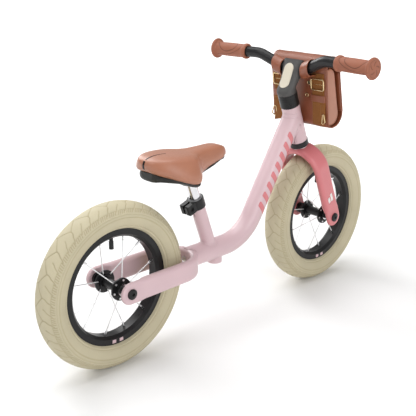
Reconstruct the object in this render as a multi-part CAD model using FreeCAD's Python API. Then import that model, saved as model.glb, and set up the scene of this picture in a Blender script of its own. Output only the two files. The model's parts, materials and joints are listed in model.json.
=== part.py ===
"""Balance bike for a small child, as separate solids, one STEP file per sub-part.

Millimetres. +X is the riding direction, +Y the rider's left, +Z up. The origin is on the ground,
midway between the two wheel axles.
"""
import FreeCAD, Part
import math
import os

V = FreeCAD.Vector

# Wheels: 12 1/2 x 2 1/4 tyre on a 203 mm rim.
WHEELBASE = 580.0
TYRE_RADIUS = 155.0
TYRE_HALF_WIDTH = 26.8
TYRE_WALL = 3.4
TYRE_WIDEST_RADIUS = 135.7
BEAD_SEAT_RADIUS = 101.5
RIM_EDGE_RADIUS = 108.6
RIM_HALF_WIDTH = 15.0
RIM_WALL = 2.0
RIM_WELL_INNER_RADIUS = 93.0
TUBE_CENTRE_RADIUS = 130.5
TUBE_RADIUS = 18.5
SPOKES_PER_FLANGE = 6
SPOKE_RADIUS = 1.0
NIPPLE_RADIUS = 2.2
FLANGE_RADIUS = 21.0
FLANGE_OUTER_FACE = 25.0
FLANGE_THICKNESS = 3.0
HUB_END = 30.0
HUB_BARREL_RADIUS = 9.5
BEARING_RADIUS = 11.0
AXLE_RADIUS = 5.0
BOLT_RADIUS = 3.0
VALVE_RADIUS = 3.6
VALVE_STEM_RADIUS = 2.6
VALVE_CAP_RADIUS = 4.2
SIDEWALL_DROP = 32.6
RIM_WELL_HALF_WIDTH = 9.0
SPOKE_CIRCLE_RADIUS = 17.0
HUB_BORE_RADIUS = 6.5
HUB_SEAT_RADIUS = 13.5
BEARING_LENGTH = 8.0

# Flattened tube of the rear stays and the fork.
STAY_SPREAD = 47.0
STAY_TALL = 41.0
STAY_THICK = 16.0
STAY_WALL = 2.0
STAY_AXLE_DISTANCE = 135.0
DROPOUT_RADIUS = 20.5
DROPOUT_INNER = 46.0
DROPOUT_OUTER = 54.0
LEG_END = 24.0

# Main tube.
TUBE_WALL = 2.0
MAIN_TUBE_RADIUS = 20.6
MAIN_TUBE_AXIS_Z = 155.5
MAIN_TUBE_CORNER_X = 46.4
MAIN_TUBE_SLOPE = math.radians(57.3)
MAIN_TUBE_BEND_RADIUS = 95.5
BOSS_X = -33.0
BOSS_RADIUS = 14.5
BOSS_SPIGOT_RADIUS = 7.0
BOSS_FACE_Z = 127.0
BOSS_THREAD_RADIUS = 4.0
BOSS_LENGTH = 14.0

# Seat tube, clamp and post. Distances along the seat axis start at the main tube's axis.
SEAT_TILT = math.radians(20.0)
SEAT_FOOT_X = -44.8
SEAT_TUBE_RADIUS = 14.0
SEAT_TUBE_TOP = 119.0
SEAT_POST_RADIUS = 11.1
SEAT_SHIM_RADIUS = 12.5
CLAMP_RADIUS = 16.4
CLAMP_BOTTOM = 105.0
CLAMP_TOP = 124.5
CLAMP_SLIT = 5.0
EAR_REACH = 25.0
EAR_HALF_WIDTH = 11.8
POST_TOP = 178.0

# Steering axis. Distances along it start at the front axle.
STEER_TILT = math.atan(0.4)
HEAD_BOTTOM = 194.0
HEAD_TOP = 279.0
HEAD_RADIUS = 19.3
HEAD_BORE_RADIUS = 17.0
CUP_RADIUS = 20.2
CUP_BORE_RADIUS = 15.0
BEARING_POCKET_RADIUS = 18.0
CROWN_TOP = 181.0
STEERER_RADIUS = 14.3
STEERER_BORE_RADIUS = 11.15
STEERER_BOTTOM = 166.5
RACE_RADIUS = 17.4
RACE_BOTTOM = 176.0
LOWER_CUP_BOTTOM = 181.9
BEARING_HEIGHT = 8.0
QUILL_RADIUS = 11.1
UPPER_CUP_TOP = 298.6
COLLAR_BOTTOM = 299.0
COLLAR_TOP = 308.0
STEM_BOTTOM = 308.5
QUILL_BOTTOM = 200.0
QUILL_SOCKET = 22.0
RUNNING_GAP = 0.05
FACE_GAP = 0.4

# Stem above its round foot: x, z, nod of the section in radians, half width, half depth, squareness.
STEM_RADIUS = 20.1
STEM_SECTIONS = (
    (181.5, 464.0, 0.24, 20.0, 19.0, 0.9),
    (190.0, 482.0, 0.0, 22.0, 16.0, 0.8),
    (194.0, 497.0, -0.17, 24.0, 12.2, 0.75),
    (195.5, 507.0, -0.26, 23.5, 9.5, 0.75),
)
BADGE_LOW = V(162.5, 0.0, 464.0)
BADGE_HIGH = V(178.5, 0.0, 489.5)
BADGE_HALF_WIDTH = 11.5
BADGE_PROUD = 1.2

# Handlebar and grips.
BAR_RADIUS = 11.1
BAR_WALL = 1.6
BAR_CENTRE_X = 196.0
BAR_CENTRE_Z = 488.5
BAR_FLAT_HALF = 27.0
BAR_RISE_END = V(185.5, 84.0, 513.0)
BAR_END = V(177.2, 204.0, 512.3)
BAR_BEND_RADIUS = 45.0
GRIP_INNER = 117.5
GRIP_LENGTH = 88.5
GRIP_RADIUS = 14.2
GRIP_INNER_FLANGE_RADIUS = 16.3
GRIP_OUTER_FLANGE_RADIUS = 21.3

# Bag in front of the handlebar. Its own directions: forward from the back panel, up along it.
BAG_BACK_BOTTOM = V(223.5, 0.0, 372.0)
BAG_TILT = math.radians(7.0)
BAG_HALF_WIDTH = 73.5
BAG_SHEET = 2.5
BAG_BACK_TOP = 122.0
BAG_FRONT_TOP = 104.0
BAG_TOP_CENTRE = (22.4, 119.8)
BAG_TOP_RADIUS = 23.1
FOLD_ANGLE = math.radians(115.0)
FOLD_CLEARANCE = 1.1
BACK_JOIN_ANGLE = math.radians(184.0)
FLAP_FRONT_ANGLE = math.radians(-21.0)
FLAP_HEM = (50.2, 24.0)
FLAP_OVERHANG = 0.5
GUSSET_RECESS = 4.0
STRAP_CENTRE = 50.5
STRAP_HALF_WIDTH = 15.5
STRAP_THICKNESS = 1.6
LOOP_INNER = 25.5
LOOP_OUTER = 47.0
LOOP_THICKNESS = 2.6
LOOP_SLACK = 5.5
STRAP_BOTTOM = -2.0
STRAP_TOP = 110.0
BUCKLE_BOTTOM = 78.0
BUCKLE_TOP = 100.0
BUCKLE_DEPTH = 2.2
BUCKLE_BAR = 3.0
KEEPER_BOTTOM = 52.0
KEEPER_TOP = 66.0
KEEPER_THICKNESS = 2.0
HOOK_WIRE_RADIUS = 1.2
EYELET_RADIUS = 4.4
EYELET_BORE_RADIUS = 2.2
EYELET_PROUD = 0.8
TAB_HALF_WIDTH = 12.0
STUD_RADIUS = 4.5
STUD_UP = 36.0

# Hook corners (forward, up, side) and eyelet centres (up, side) on the left.
HOOK_CORNERS = ((-3.2, 35.0, 64.5), (-8.0, 13.0, 71.0), (-3.4, 6.0, 60.5))
EYELETS = ((89.0, 27.0), (62.5, 20.5))


def axle_point(sign):
    """Centre of the front (+1) or rear (-1) axle."""
    return V(sign * WHEELBASE / 2, 0, TYRE_RADIUS)


STEER_UP = V(-math.sin(STEER_TILT), 0, math.cos(STEER_TILT))
STEER_FORWARD = V(math.cos(STEER_TILT), 0, math.sin(STEER_TILT))
SEAT_UP = V(-math.sin(SEAT_TILT), 0, math.cos(SEAT_TILT))
SEAT_BACK = V(-math.cos(SEAT_TILT), 0, -math.sin(SEAT_TILT))
BAG_UP = V(-math.sin(BAG_TILT), 0, math.cos(BAG_TILT))
BAG_FORWARD = V(math.cos(BAG_TILT), 0, math.sin(BAG_TILT))
SIDE = V(0, 1, 0)


def steer_point(along):
    """Point on the steering axis at a distance from the front axle."""
    return axle_point(1) + STEER_UP * along


def seat_point(along):
    """Point on the seat axis at a distance from the main tube's axis."""
    return V(SEAT_FOOT_X, 0, MAIN_TUBE_AXIS_Z) + SEAT_UP * along


def bag_point(forward, up, side=0.0):
    """Point in the bag's own directions."""
    return BAG_BACK_BOTTOM + BAG_FORWARD * forward + BAG_UP * up + SIDE * side


# General shapes.

def rod(radius, start, end):
    """Solid cylinder between two points."""
    return Part.makeCylinder(radius, (end - start).Length, start, end - start)


def sleeve(outer, inner, start, end):
    """Hollow cylinder between two points."""
    return rod(outer, start, end).cut(rod(inner, start, end))


def box(low, high):
    """Axis-parallel box between two corners."""
    size = high - low
    return Part.makeBox(size.x, size.y, size.z, low)


def fuse_all(shapes):
    """One solid from overlapping ones."""
    result = shapes[0].multiFuse(shapes[1:])
    return result.removeSplitter()


def face_of(edges):
    """Planar face bounded by a closed chain of edges."""
    return Part.Face(Part.Wire(Part.__sortEdges__(edges)))


def polygon_face(points):
    """Planar face with straight sides."""
    return Part.Face(Part.makePolygon(points + [points[0]]))


def rounded_wire(points, radius):
    """Straight runs joined by tangent arcs of one radius."""
    edges = []
    start = points[0]
    for before, corner, after in zip(points, points[1:], points[2:]):
        to_before = (before - corner).normalize()
        to_after = (after - corner).normalize()
        half_angle = to_before.getAngle(to_after) / 2
        tangent = radius / math.tan(half_angle)
        bisector = (to_before + to_after).normalize()
        middle = corner + bisector * (radius / math.sin(half_angle) - radius)
        arc_start = corner + to_before * tangent
        arc_end = corner + to_after * tangent
        edges.append(Part.makeLine(start, arc_start))
        edges.append(Part.Arc(arc_start, middle, arc_end).toShape())
        start = arc_end
    edges.append(Part.makeLine(start, points[-1]))
    return Part.Wire(edges)


def sweep(path, radius):
    """Solid round bar along a wire."""
    first = path.Edges[0]
    start = first.valueAt(first.FirstParameter)
    direction = first.tangentAt(first.FirstParameter)
    circle = Part.Wire(Part.makeCircle(radius, start, direction))
    return path.makePipeShell([circle], True, False)


def oval_wire(centre, across, along, half_across, half_along, squareness=1.0):
    """Closed smooth section, rounder at 1 and squarer below 1."""
    points = []
    count = 16
    for index in range(count):
        angle = 2 * math.pi * index / count
        cosine = math.cos(angle)
        sine = math.sin(angle)
        a = math.copysign(abs(cosine) ** squareness, cosine) * half_across
        b = math.copysign(abs(sine) ** squareness, sine) * half_along
        points.append(centre + across * a + along * b)
    curve = Part.BSplineCurve()
    curve.interpolate(Points=points, PeriodicFlag=True)
    return Part.Wire(curve.toShape())


def turned(face, centre, direction, degrees=360):
    """Solid of revolution."""
    return face.revolve(centre, direction, degrees)


def mirrored(shape):
    """Copy of a shape on the other side of the bike."""
    return shape.mirror(V(0, 0, 0), SIDE)


def both_sides(shape):
    """A shape and its mirror image as separate solids."""
    return Part.makeCompound([shape, mirrored(shape)])


def hexagon_pocket(centre, direction, across_flats, depth):
    """Hexagonal prism that cuts a key socket."""
    reference = SIDE if abs(direction.y) < 0.9 else V(1, 0, 0)
    first = direction.cross(reference).normalize()
    second = direction.cross(first)
    radius = across_flats / math.sqrt(3)
    points = []
    for index in range(6):
        angle = math.pi / 3 * index
        points.append(centre + first * (radius * math.cos(angle)) + second * (radius * math.sin(angle)))
    return polygon_face(points).extrude(direction * depth)


def socket_bolt(head_base, direction, head_radius, head_height, shank_radius, shank_length, key):
    """Bolt with a domed head and a hexagonal socket; direction points from the shank to the head."""
    crown_rise = head_height * 0.45
    rim = head_height - crown_rise
    dome_radius = (head_radius ** 2 + crown_rise ** 2) / (2 * crown_rise)
    top = head_base + direction * head_height
    dome = Part.makeSphere(dome_radius, top - direction * dome_radius)
    head = rod(head_radius, head_base, top).common(dome)
    head = head.fuse(rod(head_radius, head_base, head_base + direction * rim))
    bolt = fuse_all([head, rod(shank_radius, head_base - direction * shank_length, head_base + direction)])
    depth = head_height * 0.65
    return bolt.cut(hexagon_pocket(top - direction * depth, direction, key, depth + 1))


# Flattened U tube: legs along -X from the semicircle, which bulges towards +X.

def stadium_face(spread, tall, thick):
    """Flattened tube section at the start of the left leg, in the YZ plane."""
    radius = thick / 2
    straight = tall / 2 - radius
    inner = spread - radius
    outer = spread + radius
    edges = [
        Part.makeLine(V(0, outer, -straight), V(0, outer, straight)),
        Part.Arc(V(0, outer, straight), V(0, spread, tall / 2), V(0, inner, straight)).toShape(),
        Part.makeLine(V(0, inner, straight), V(0, inner, -straight)),
        Part.Arc(V(0, inner, -straight), V(0, spread, -tall / 2), V(0, outer, -straight)).toShape(),
    ]
    return face_of(edges)


def u_solid(tall, thick, leg_length):
    """Solid U of a flattened section."""
    section = stadium_face(STAY_SPREAD, tall, thick)
    leg = section.extrude(V(-leg_length, 0, 0))
    bridge = section.revolve(V(0, 0, 0), V(0, 0, 1), -180)
    return fuse_all([leg, bridge, mirrored(leg)])


def dropout_plate(axle_distance):
    """Flat plate round the axle at the end of the left leg."""
    round_end = rod(DROPOUT_RADIUS, V(-axle_distance, DROPOUT_INNER, 0), V(-axle_distance, DROPOUT_OUTER, 0))
    half = DROPOUT_RADIUS
    neck = box(V(-axle_distance, DROPOUT_INNER, -half), V(LEG_END + 3 - axle_distance, DROPOUT_OUTER, half))
    return round_end.fuse(neck)


def u_frame(axle_distance):
    """Hollow U tube with closed ends, dropouts and axle holes."""
    leg = axle_distance - LEG_END
    outer = u_solid(STAY_TALL, STAY_THICK, leg)
    hollow = u_solid(STAY_TALL - 2 * STAY_WALL, STAY_THICK - 2 * STAY_WALL, leg - 5)
    tube = outer.cut(hollow)
    plate = dropout_plate(axle_distance)
    frame = fuse_all([tube, plate, mirrored(plate)])
    hole_end = DROPOUT_OUTER + 5
    return frame.cut(rod(BOLT_RADIUS + 0.1, V(-axle_distance, -hole_end, 0), V(-axle_distance, hole_end, 0)))


# Frame.

def main_tube_path():
    """Axis of the main tube: level at the back, rising to the head tube."""
    direction = V(math.cos(MAIN_TUBE_SLOPE), 0, math.sin(MAIN_TUBE_SLOPE))
    corner = V(MAIN_TUBE_CORNER_X, 0, MAIN_TUBE_AXIS_Z)
    head_foot = axle_point(1)
    gap = head_foot - corner
    reach = gap.dot(STEER_FORWARD) / direction.dot(STEER_FORWARD)
    bridge_front = STAY_SPREAD + STAY_THICK / 2 + STAY_AXLE_DISTANCE - WHEELBASE / 2
    start = V(bridge_front - 12, 0, MAIN_TUBE_AXIS_Z)
    return rounded_wire([start, corner, corner + direction * (reach - 6)], MAIN_TUBE_BEND_RADIUS)


def rear_stays_outer():
    """Outside of the rear U without its hollow, used to cope the main tube."""
    solid = u_solid(STAY_TALL, STAY_THICK, STAY_AXLE_DISTANCE - LEG_END)
    solid.translate(V(STAY_AXLE_DISTANCE - WHEELBASE / 2, 0, TYRE_RADIUS))
    return solid


def bridge_bolt():
    """Bolt through the inner wall of the rear bridge."""
    inner_face = V(STAY_SPREAD - STAY_THICK / 2 + STAY_AXLE_DISTANCE - WHEELBASE / 2, 0, TYRE_RADIUS)
    return socket_bolt(inner_face, V(-1, 0, 0), 6.0, 3.6, BOLT_RADIUS, 9.0, 4.0)


def bridge_bolt_seat():
    """Flat seat and hole for the bridge bolt, cut from the rear U."""
    inner_face = V(STAY_SPREAD - STAY_THICK / 2 + STAY_AXLE_DISTANCE - WHEELBASE / 2, 0, TYRE_RADIUS)
    seat = rod(6.05, inner_face, inner_face - V(6, 0, 0))
    return seat.fuse(rod(BOLT_RADIUS, inner_face, inner_face + V(9.5, 0, 0)))


def rear_stays():
    stays = u_frame(STAY_AXLE_DISTANCE)
    stays.translate(V(STAY_AXLE_DISTANCE - WHEELBASE / 2, 0, TYRE_RADIUS))
    return stays.cut(bridge_bolt_seat())


def accessory_boss():
    """Round boss under the main tube with a threaded hole from below."""
    base = V(BOSS_X, 0, BOSS_FACE_Z)
    boss = rod(BOSS_RADIUS, base, V(BOSS_X, 0, MAIN_TUBE_AXIS_Z))
    tube = rod(MAIN_TUBE_RADIUS, V(-95, 0, MAIN_TUBE_AXIS_Z), V(30, 0, MAIN_TUBE_AXIS_Z))
    boss = boss.cut(tube)
    spigot = rod(BOSS_SPIGOT_RADIUS, base, V(BOSS_X, 0, BOSS_FACE_Z + BOSS_LENGTH))
    boss = fuse_all([boss, spigot])
    return boss.cut(rod(BOSS_THREAD_RADIUS, base, V(BOSS_X, 0, BOSS_FACE_Z + BOSS_LENGTH)))


def main_tube():
    tube = sweep(main_tube_path(), MAIN_TUBE_RADIUS)
    tube = tube.cut(sweep(main_tube_path(), MAIN_TUBE_RADIUS - TUBE_WALL))
    tube = tube.cut(rear_stays_outer())
    tube = tube.cut(rod(HEAD_RADIUS, steer_point(HEAD_BOTTOM - 40), steer_point(HEAD_TOP + 40)))
    tube = tube.cut(rod(SEAT_POST_RADIUS + 0.6, seat_point(2), seat_point(45)))
    tube = tube.cut(rod(BOSS_SPIGOT_RADIUS, V(BOSS_X, 0, BOSS_FACE_Z), V(BOSS_X, 0, BOSS_FACE_Z + BOSS_LENGTH)))
    return largest_solid(tube)


def largest_solid(shape):
    """The biggest piece of a shape that a cut may have split."""
    return max(shape.Solids, key=lambda solid: solid.Volume)


def seat_tube():
    tube = rod(SEAT_TUBE_RADIUS, seat_point(0), seat_point(SEAT_TUBE_TOP))
    tube = tube.cut(rod(SEAT_SHIM_RADIUS, seat_point(0), seat_point(SEAT_TUBE_TOP + 1)))
    tube = tube.cut(rod(MAIN_TUBE_RADIUS, V(-120, 0, MAIN_TUBE_AXIS_Z), V(60, 0, MAIN_TUBE_AXIS_Z)))
    slot_middle = seat_point(SEAT_TUBE_TOP - 14) + SEAT_BACK * 8
    slot = seat_block(slot_middle, 30, 16, 3.0)
    return largest_solid(tube.cut(slot))


def seat_block(centre, along, back, side):
    """Box centred at a point, square to the seat axis."""
    block = Part.makeBox(back, side, along, V(-back / 2, -side / 2, -along / 2))
    block.Placement = FreeCAD.Placement(centre, FreeCAD.Rotation(SIDE, -math.degrees(SEAT_TILT)))
    return block


def seat_shim():
    """Plastic sleeve between the seat tube and the post, with a lip on top."""
    body = rod(SEAT_SHIM_RADIUS, seat_point(60), seat_point(SEAT_TUBE_TOP + 6.5))
    lip = rod(SEAT_TUBE_RADIUS - 0.1, seat_point(SEAT_TUBE_TOP), seat_point(SEAT_TUBE_TOP + 6.5))
    bore = rod(SEAT_POST_RADIUS + RUNNING_GAP, seat_point(50), seat_point(SEAT_TUBE_TOP + 8))
    return fuse_all([body, lip]).cut(bore)


def seat_clamp():
    """Clamp ring with two rear ears."""
    bottom = seat_point(CLAMP_BOTTOM)
    top = seat_point(CLAMP_TOP)
    ring = rod(CLAMP_RADIUS, bottom, top)
    middle = seat_point((CLAMP_BOTTOM + CLAMP_TOP) / 2) + SEAT_BACK * 20
    height = CLAMP_TOP - CLAMP_BOTTOM
    ears = seat_block(middle, height, EAR_REACH, 2 * EAR_HALF_WIDTH)
    ears = ears.makeFillet(3.0, [edge for edge in ears.Edges if edge_is_rear_of(edge, middle)])
    slit = seat_block(middle, height + 2, EAR_REACH + 10, CLAMP_SLIT)
    bore = rod(SEAT_TUBE_RADIUS, seat_point(CLAMP_BOTTOM - 5), seat_point(CLAMP_TOP + 5))
    hole = rod(3.1, middle + SEAT_BACK * 3 - SIDE * 20, middle + SEAT_BACK * 3 + SIDE * 20)
    seat = rod(5.0, middle + SEAT_BACK * 3 - SIDE * 20, middle + SEAT_BACK * 3 - SIDE * 8)
    clamp = fuse_all([ring, ears]).cut(bore).cut(slit).cut(hole).cut(seat)
    return clamp


def edge_is_rear_of(edge, middle):
    """True for an edge wholly behind a point along the seat axis's rearward direction."""
    return all((vertex.Point - middle).dot(SEAT_BACK) > 1 for vertex in edge.Vertexes)


def seat_clamp_bolt():
    """Socket bolt across the clamp ears and its barrel nut."""
    middle = seat_point((CLAMP_BOTTOM + CLAMP_TOP) / 2) + SEAT_BACK * 23
    return socket_bolt(middle - SIDE * 8, V(0, -1, 0), 4.9, 4.0, 3.0, 19.0, 4.0)


def headset_cup(flange_start, flange_end, skirt_end, pocket_depth):
    """Cup pressed into one end of the head tube, its bearing pocket open at flange_start."""
    direction = 1 if flange_end > flange_start else -1
    flange = rod(CUP_RADIUS, steer_point(flange_start), steer_point(flange_end))
    skirt = rod(HEAD_BORE_RADIUS, steer_point(flange_end), steer_point(skirt_end))
    low = min(flange_start, skirt_end) - 5
    high = max(flange_start, skirt_end) + 5
    bore = rod(CUP_BORE_RADIUS, steer_point(low), steer_point(high))
    pocket_end = flange_start + direction * pocket_depth
    pocket = rod(BEARING_POCKET_RADIUS, steer_point(flange_start - direction), steer_point(pocket_end))
    return fuse_all([flange, skirt]).cut(bore).cut(pocket)


def headset_bearings():
    bore = STEERER_RADIUS + RUNNING_GAP
    rings = []
    for start in (LOWER_CUP_BOTTOM + 1.1, UPPER_CUP_TOP - 0.8 - BEARING_HEIGHT):
        end = start + BEARING_HEIGHT
        rings.append(sleeve(BEARING_POCKET_RADIUS, bore, steer_point(start), steer_point(end)))
    return Part.makeCompound(rings)


def limiter_screw():
    """Grub screw in the upper cup, behind and to the right."""
    angle = math.radians(48)
    outward = STEER_FORWARD * -math.cos(angle) - SIDE * math.sin(angle)
    base = steer_point(HEAD_TOP + 5)
    inner = base + outward * (BEARING_POCKET_RADIUS + 0.1)
    outer = base + outward * (CUP_RADIUS - 0.4)
    return rod(2.0, inner, outer)


def head_tube():
    return sleeve(HEAD_RADIUS, HEAD_BORE_RADIUS, steer_point(HEAD_BOTTOM), steer_point(HEAD_TOP))


# Axles, one set per wheel.

def axle(sign):
    """Axle rod between the dropouts, threaded at both ends."""
    centre = axle_point(sign)
    reach = SIDE * DROPOUT_INNER
    rod_body = rod(AXLE_RADIUS, centre - reach, centre + reach)
    thread = SIDE * 18
    rod_body = rod_body.cut(rod(BOLT_RADIUS, centre - reach, centre - reach + thread))
    return rod_body.cut(rod(BOLT_RADIUS, centre + reach - thread, centre + reach))


def axle_bolts(sign):
    centre = axle_point(sign)
    bolt = socket_bolt(centre + SIDE * DROPOUT_OUTER, SIDE, 9.6, 4.4, BOLT_RADIUS, 24.0, 6.0)
    return both_sides(bolt)


def axle_spacers(sign):
    """Stepped spacer between the hub and each dropout."""
    centre = axle_point(sign)
    start = HUB_END + FACE_GAP
    narrow = rod(8.5, centre + SIDE * start, centre + SIDE * DROPOUT_INNER)
    wide = rod(11.5, centre + SIDE * (DROPOUT_INNER - 5), centre + SIDE * DROPOUT_INNER)
    bore = rod(AXLE_RADIUS, centre + SIDE * 20, centre + SIDE * 60)
    return both_sides(fuse_all([narrow, wide]).cut(bore))


# Wheel parts, made round the Y axis at the origin. Sections are drawn in the YZ plane.

def ellipse_arc(centre_radius, half_width, half_height, start, end):
    """Part of an ellipse in a wheel's section, angles in radians from +Y towards +Z."""
    centre = V(0, 0, centre_radius)
    if half_width >= half_height:
        ellipse = Part.Ellipse(centre + V(0, half_width, 0), centre + V(0, 0, half_height), centre)
        return Part.ArcOfEllipse(ellipse, start, end).toShape()
    ellipse = Part.Ellipse(centre + V(0, 0, half_height), centre - V(0, half_width, 0), centre)
    quarter = math.pi / 2
    return Part.ArcOfEllipse(ellipse, start - quarter, end - quarter).toShape()


def tyre_half_section():
    """Left half of the tyre's section: crown, sidewall and bead."""
    wall = TYRE_WALL
    crown = TYRE_RADIUS - TYRE_WIDEST_RADIUS
    edge = math.asin((TYRE_WIDEST_RADIUS - RIM_EDGE_RADIUS - 0.4) / SIDEWALL_DROP)
    outer_edge = V(0, TYRE_HALF_WIDTH * math.cos(edge), TYRE_WIDEST_RADIUS - SIDEWALL_DROP * math.sin(edge))
    inner_width = TYRE_HALF_WIDTH - wall
    inner_drop = SIDEWALL_DROP - 0.5
    inner_angle = math.asin((TYRE_WIDEST_RADIUS - RIM_EDGE_RADIUS + 0.5) / inner_drop)
    inner_edge = V(0, inner_width * math.cos(inner_angle), TYRE_WIDEST_RADIUS - inner_drop * math.sin(inner_angle))
    bead_outer = RIM_HALF_WIDTH - RIM_WALL - 0.1
    bead_inner = bead_outer - 3.4
    foot = BEAD_SEAT_RADIUS + 0.1
    quarter = math.pi / 2
    edges = [
        ellipse_arc(TYRE_WIDEST_RADIUS, TYRE_HALF_WIDTH, crown, 0, quarter),
        ellipse_arc(TYRE_WIDEST_RADIUS, TYRE_HALF_WIDTH, SIDEWALL_DROP, -edge, 0),
        Part.makeLine(outer_edge, V(0, bead_outer, outer_edge.z)),
        Part.makeLine(V(0, bead_outer, outer_edge.z), V(0, bead_outer, foot)),
        Part.makeLine(V(0, bead_outer, foot), V(0, bead_inner, foot)),
        Part.makeLine(V(0, bead_inner, foot), inner_edge),
        ellipse_arc(TYRE_WIDEST_RADIUS, inner_width, inner_drop, -inner_angle, 0),
        ellipse_arc(TYRE_WIDEST_RADIUS, inner_width, crown - wall, 0, quarter),
        Part.makeLine(V(0, 0, TYRE_RADIUS - wall), V(0, 0, TYRE_RADIUS)),
    ]
    return face_of(edges)


def tyre():
    half = turned(tyre_half_section(), V(0, 0, 0), SIDE)
    return fuse_all([half, mirrored(half)])


def inner_tube():
    """Inflated tube: a thin hollow ring."""
    outer = Part.makeTorus(TUBE_CENTRE_RADIUS, TUBE_RADIUS, V(0, 0, 0), SIDE)
    return outer.cut(Part.makeTorus(TUBE_CENTRE_RADIUS, TUBE_RADIUS - 1.0, V(0, 0, 0), SIDE))


def rim():
    """Channel with two flanges and a central well, drilled for the nipples and the valve."""
    wide = RIM_HALF_WIDTH
    wall = RIM_WALL
    well = RIM_WELL_HALF_WIDTH
    left = [
        (wide, RIM_EDGE_RADIUS),
        (wide, 98.0),
        (well, RIM_WELL_INNER_RADIUS),
    ]
    inner = [
        (well - 1.2, RIM_WELL_INNER_RADIUS + wall),
        (well + 0.6, BEAD_SEAT_RADIUS),
        (wide - wall, BEAD_SEAT_RADIUS),
        (wide - wall, RIM_EDGE_RADIUS),
    ]
    loop = left + [(-y, z) for y, z in reversed(left)]
    loop += [(-y, z) for y, z in reversed(inner)] + inner
    ring = turned(polygon_face([V(0, y, z) for y, z in loop]), V(0, 0, 0), SIDE)
    for foot, head in spoke_lines():
        direction = (head - foot).normalize()
        ring = ring.cut(rod(NIPPLE_RADIUS, foot + direction * 60, head + direction * 12))
    return ring.cut(rod(VALVE_RADIUS, V(0, 0, 80), V(0, 0, 108)))


def spoke_lines():
    """Foot on the hub flange and head at the rim of each spoke."""
    lines = []
    step = 360 / SPOKES_PER_FLANGE
    for side, first in ((-1, 15), (1, 45)):
        for index in range(SPOKES_PER_FLANGE):
            angle = math.radians(first + step * index)
            outward = V(math.cos(angle), 0, math.sin(angle))
            foot = outward * SPOKE_CIRCLE_RADIUS + SIDE * (side * (FLANGE_OUTER_FACE - FLANGE_THICKNESS / 2))
            head = outward * (RIM_WELL_INNER_RADIUS - 1) + SIDE * (side * 3.0)
            lines.append((foot, head))
    return lines


def spokes():
    """Each spoke: head outside the flange, elbow through it, straight run to its nipple."""
    result = []
    for foot, head in spoke_lines():
        side = SIDE * math.copysign(1, foot.y)
        bend = foot - side * (FLANGE_THICKNESS / 2 + SPOKE_RADIUS + 0.1)
        outside = foot + side * (FLANGE_THICKNESS / 2)
        knob = rod(1.9, outside, outside + side * 1.2)
        elbow = rod(SPOKE_RADIUS, bend, outside + side * 0.5)
        corner = Part.makeSphere(SPOKE_RADIUS, bend)
        run = rod(SPOKE_RADIUS, bend, head)
        result.append(fuse_all([knob, elbow, corner, run]))
    return Part.makeCompound(result)


def spoke_run(foot, head):
    """Start and direction of a spoke's straight run."""
    side = SIDE * math.copysign(1, foot.y)
    bend = foot - side * (FLANGE_THICKNESS / 2 + SPOKE_RADIUS + 0.1)
    return bend, (head - bend).normalize()


def nipples():
    """Nipple bodies through the rim, each on the end of its spoke."""
    result = []
    for foot, head in spoke_lines():
        bend, direction = spoke_run(foot, head)
        neck = rod(NIPPLE_RADIUS - 0.3, head - direction * 9, head + direction * 3)
        cap = rod(NIPPLE_RADIUS + 1.0, head + direction * 3.8, head + direction * 6)
        stalk = rod(NIPPLE_RADIUS - 0.3, head, head + direction * 4.5)
        bore = rod(SPOKE_RADIUS, bend, head)
        result.append(fuse_all([neck, cap, stalk]).cut(bore))
    return Part.makeCompound(result)


def hub():
    """Barrel with two spoke flanges and bearing seats."""
    barrel = rod(HUB_BARREL_RADIUS, V(0, -HUB_END, 0), V(0, HUB_END, 0))
    parts = [barrel]
    for side in (-1, 1):
        outer = V(0, side * FLANGE_OUTER_FACE, 0)
        inner = V(0, side * (FLANGE_OUTER_FACE - FLANGE_THICKNESS), 0)
        parts.append(rod(FLANGE_RADIUS, inner, outer))
        parts.append(rod(HUB_SEAT_RADIUS, V(0, side * 19, 0), V(0, side * HUB_END, 0)))
    shell = fuse_all(parts)
    shell = shell.cut(rod(HUB_BORE_RADIUS, V(0, -HUB_END, 0), V(0, HUB_END, 0)))
    for side in (-1, 1):
        seat_end = V(0, side * (HUB_END - BEARING_LENGTH), 0)
        shell = shell.cut(rod(BEARING_RADIUS, seat_end, V(0, side * HUB_END, 0)))
    for foot, _ in spoke_lines():
        shell = shell.cut(rod(SPOKE_RADIUS + 0.05, foot - SIDE * 3, foot + SIDE * 3))
    return shell


def hub_bearings():
    inner_end = V(0, HUB_END - BEARING_LENGTH, 0)
    return both_sides(sleeve(BEARING_RADIUS, AXLE_RADIUS + RUNNING_GAP, inner_end, V(0, HUB_END, 0)))


def valve():
    """Valve stem through the rim and its screwed cap, two solids."""
    stem = rod(VALVE_RADIUS, V(0, 0, 86), V(0, 0, TUBE_CENTRE_RADIUS - TUBE_RADIUS))
    stem = stem.fuse(rod(VALVE_STEM_RADIUS, V(0, 0, 76), V(0, 0, 87))).removeSplitter()
    cap = rod(VALVE_CAP_RADIUS, V(0, 0, 69.5), V(0, 0, 84))
    cap = cap.cut(rod(VALVE_STEM_RADIUS, V(0, 0, 76), V(0, 0, 84)))
    return Part.makeCompound([stem, cap])


# Fork.

def steerer():
    """Steerer tube with the crown race."""
    tube = rod(STEERER_RADIUS, steer_point(STEERER_BOTTOM), steer_point(COLLAR_TOP))
    race = rod(RACE_RADIUS, steer_point(RACE_BOTTOM), steer_point(CROWN_TOP + 0.5))
    return fuse_all([tube, race]).cut(rod(STEERER_BORE_RADIUS, steer_point(160), steer_point(COLLAR_TOP + 5)))


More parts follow.
